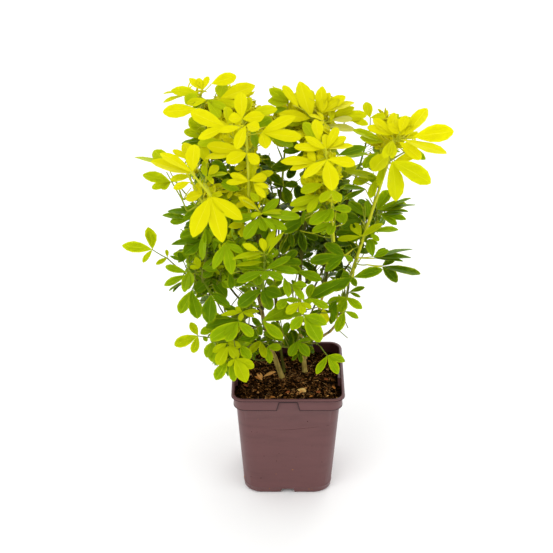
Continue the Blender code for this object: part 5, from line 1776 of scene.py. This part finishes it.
def make_foliage(paths, skins, greens):
    """Every mass grown on from its limb: shoots, twigs, stalks and leaves."""
    shoots, special, bones = {}, {}, {}
    for name, (limb, leaflet, _, tips) in MASSES.items():
        root_way = unit(paths[limb][-1] - paths[limb][-2])
        shoots[name] = grow_shoots(tips, paths[limb][-1] + root_way * GAP, root_way)
        dice = random.Random(name + " seen")
        special[name] = [SeenLeaf(row, shoots[name], dice) for row in SEEN_LEAVES.get(name, [])]
    spots = np.vstack([leaf.centre + (tip - leaf.centre) * share
                       for leaves in special.values() for leaf in leaves for tip in leaf.tips
                       for share in (0.25, 0.5, 0.75, 1.0)]
                      + [shoots[name][0] for name in YELLOW_LEADERS])
    seen_places, seen_far = in_photo(spots)
    for name in MASSES:
        lines = list(shoots[name])
        for leaf in special[name]:
            lines += [curve(leaf.root, leaf.centre, (0, 0, 0), 4),
                      curve(leaf.centre, leaf.tips[0], (0, 0, 0), 4)]
        bones[name] = np.vstack(lines)
    limbs = np.vstack([resampled(path, 3.0)[0] for path in paths.values()])
    count = 0
    for name, (_, leaflet, _, tips) in MASSES.items():
        twigs = []
        leaves = [(leaf, False) for leaf in grow_leaves(name, shoots[name], leaflet)]
        for number, share in enumerate(TWIG_LEAFLETS):
            finer = grow_twigs(f"{name} twigs {number}", shoots[name])
            small = grow_leaves(f"{name} small {number}", finer, leaflet * share)
            for leaf in small:
                leaf.spray += len(twigs)
            leaves += [(leaf, True) for leaf in small]
            twigs += finer
        kept = [(leaf, twig) for leaf, twig in leaves if keeps_its_place(leaf, name, bones, limbs)
                and shows_well(leaf, seen_places, seen_far)]
        kept = [(leaf, False) for leaf in special[name]] + kept
        heights = [leaf.centre[2] for leaf, _ in kept]
        span = (min(heights), max(heights))
        tones = []
        for leaf, twig in kept:
            luck = random.Random(f"{name} {twig} {leaf.spray} {leaf.pair}")
            tones.append(tone_of(leaf, name, span, luck, twig))
        worn = {leaf.spray for leaf, twig in kept if twig}
        shown = [twig for order, twig in enumerate(twigs)
                 if order in worn and in_dense_part(in_photo(twig)[0])]
        mass = name.removeprefix("foliage_")
        slot = [part["material_slot"] for part in frame["record"]["subparts"]
                if part["node"] == name][0]
        make_twigs(mass, shoots[name], shown, [leaf for leaf, _ in kept], greens[slot])
        make_leaves(mass, [leaf for leaf, _ in kept], tones, skins)
        count += len(kept)
    print("leaves", count)


# Room

def light(name, place, aim, size, power, colour=(1, 1, 1)):
    data = bpy.data.lights.new(name, "AREA")
    data.size, data.energy, data.color = size, power, colour
    obj = bpy.data.objects.new(name, data)
    bpy.context.scene.collection.objects.link(obj)
    obj.location = place
    way = np.array(aim, float) - np.array(place, float)
    obj.rotation_euler = (math.atan2(math.hypot(way[0], way[1]), -way[2]), 0,
                          math.atan2(-way[0], way[1]))
    return obj


def make_room():
    """A pale floor, soft studio light from the front left, and the camera of the photo."""
    ring = np.arange(64) * 2 * math.pi / 64
    points = np.column_stack([4 * np.cos(ring), 4 * np.sin(ring), np.full(64, -0.0003)])
    mesh = bpy.data.meshes.new("floor")
    mesh.from_pydata(points.tolist(), [], [list(range(64))])
    finish = Finish("pale_floor", (0.96, 0.96, 0.96), 0.9, Specular_IOR_Level=0.1)
    mesh.materials.append(finish.material)
    floor = bpy.data.objects.new("floor", mesh)
    bpy.context.scene.collection.objects.link(floor)
    world = bpy.data.worlds.new("studio")
    world.use_nodes = True
    world.node_tree.nodes["Background"].inputs["Color"].default_value = (1, 1, 1, 1)
    world.node_tree.nodes["Background"].inputs["Strength"].default_value = 1.0
    bpy.context.scene.world = world
    light("key", (-1.3, -1.8, 2.0), (0, 0, 0.35), 1.8, 20)
    light("fill", (1.8, -1.2, 1.3), (0, 0, 0.3), 1.8, 9)
    light("back", (0.4, 2.0, 1.8), (0, 0, 0.4), 1.8, 16)
    camera = bpy.data.objects.new("camera", bpy.data.cameras.new("camera"))
    camera.data.lens, camera.data.sensor_width = CAMERA_LENS, SENSOR
    camera.data.clip_start, camera.data.clip_end = 0.05, 20
    camera.location = EYE * MM
    camera.rotation_euler = (math.radians(90) - PITCH, 0, 0)
    bpy.context.scene.collection.objects.link(camera)
    bpy.context.scene.camera = camera
    bpy.context.scene.view_settings.view_transform = "Standard"


def main():
    make_room()
    # The pot's second finish is a darker plum: painted shade on the walls of its hollow.
    make_pot([pot_plastic("pot_plastic", (0.120, 0.049, 0.049), 0.30),
              pot_plastic("pot_hollow_painted_shade", (0.042, 0.014, 0.013), 0.04)])
    # The corner lines take a darker plum finish: painted shade.
    make_pot_painted_shade_lines(pot_plastic("pot_corner_painted_shade", (0.060, 0.035, 0.036), 0.03))
    make_pot_specks([dry_stuff("speck_orange", (0.42, 0.17, 0.04)),
                     dry_stuff("speck_dark", (0.035, 0.012, 0.012)),
                     pot_plastic("pot_smear", (0.080, 0.033, 0.033), 0.1)])
    make_soil(potting_soil())
    make_crumbs([dry_stuff("crumb_black", (0.003, 0.001, 0.0)),
                 dry_stuff("crumb_dark", (0.030, 0.011, 0.002)),
                 dry_stuff("crumb_brown", (0.16, 0.062, 0.014)),
                 dry_stuff("crumb_tan", (0.42, 0.20, 0.06))])
    make_fibres([dry_stuff("fibre_dark", (0.11, 0.045, 0.012)),
                 dry_stuff("fibre_brown", (0.32, 0.15, 0.045)),
                 dry_stuff("fibre_tan", (0.52, 0.30, 0.11))])
    make_dry_leaves([dry_stuff("dry_leaf_tan", (0.72, 0.36, 0.10)),
                     dry_stuff("dry_leaf_orange", (0.50, 0.19, 0.040)),
                     dry_stuff("dry_chip_red", (0.30, 0.085, 0.025)),
                     dry_stuff("dry_chip_pale", (0.95, 0.54, 0.17))])
    pale = bark("bark_pale", (0.07, 0.050, 0.012), (0.37, 0.275, 0.067))
    # The dark olive bark is green young wood, partly painted shade.
    olive = bark("bark_olive_and_painted_shade", (0.024, 0.027, 0.003), (0.076, 0.078, 0.010))
    paths = {}
    for name in LIMBS:
        paths[name] = limb_path(name, paths)
        make_limb(name, paths[name], [pale, olive])
    skins = []
    for name, (upper, under, rib) in TONES.items():
        skins.append((leaf_skin(name, upper, 0.42), leaf_skin(name + "_rib", rib, 0.45),
                      leaf_skin(name + "_under", under, 0.6)))
    young = green_shoot("leaf_stalk_yellow", (0.50, 0.52, 0.015))
    lime = green_shoot("leaf_stalk_lime", (0.30, 0.36, 0.012))
    green = green_shoot("leaf_stalk_green", (0.17, 0.24, 0.010))
    wood = green_shoot("twig_green", (0.17, 0.19, 0.018))
    greens = {"leaf_gold": [lime, young], "leaf_lime": [green, lime], "leaf_green": [wood, green]}
    make_foliage(paths, skins, greens)


main()
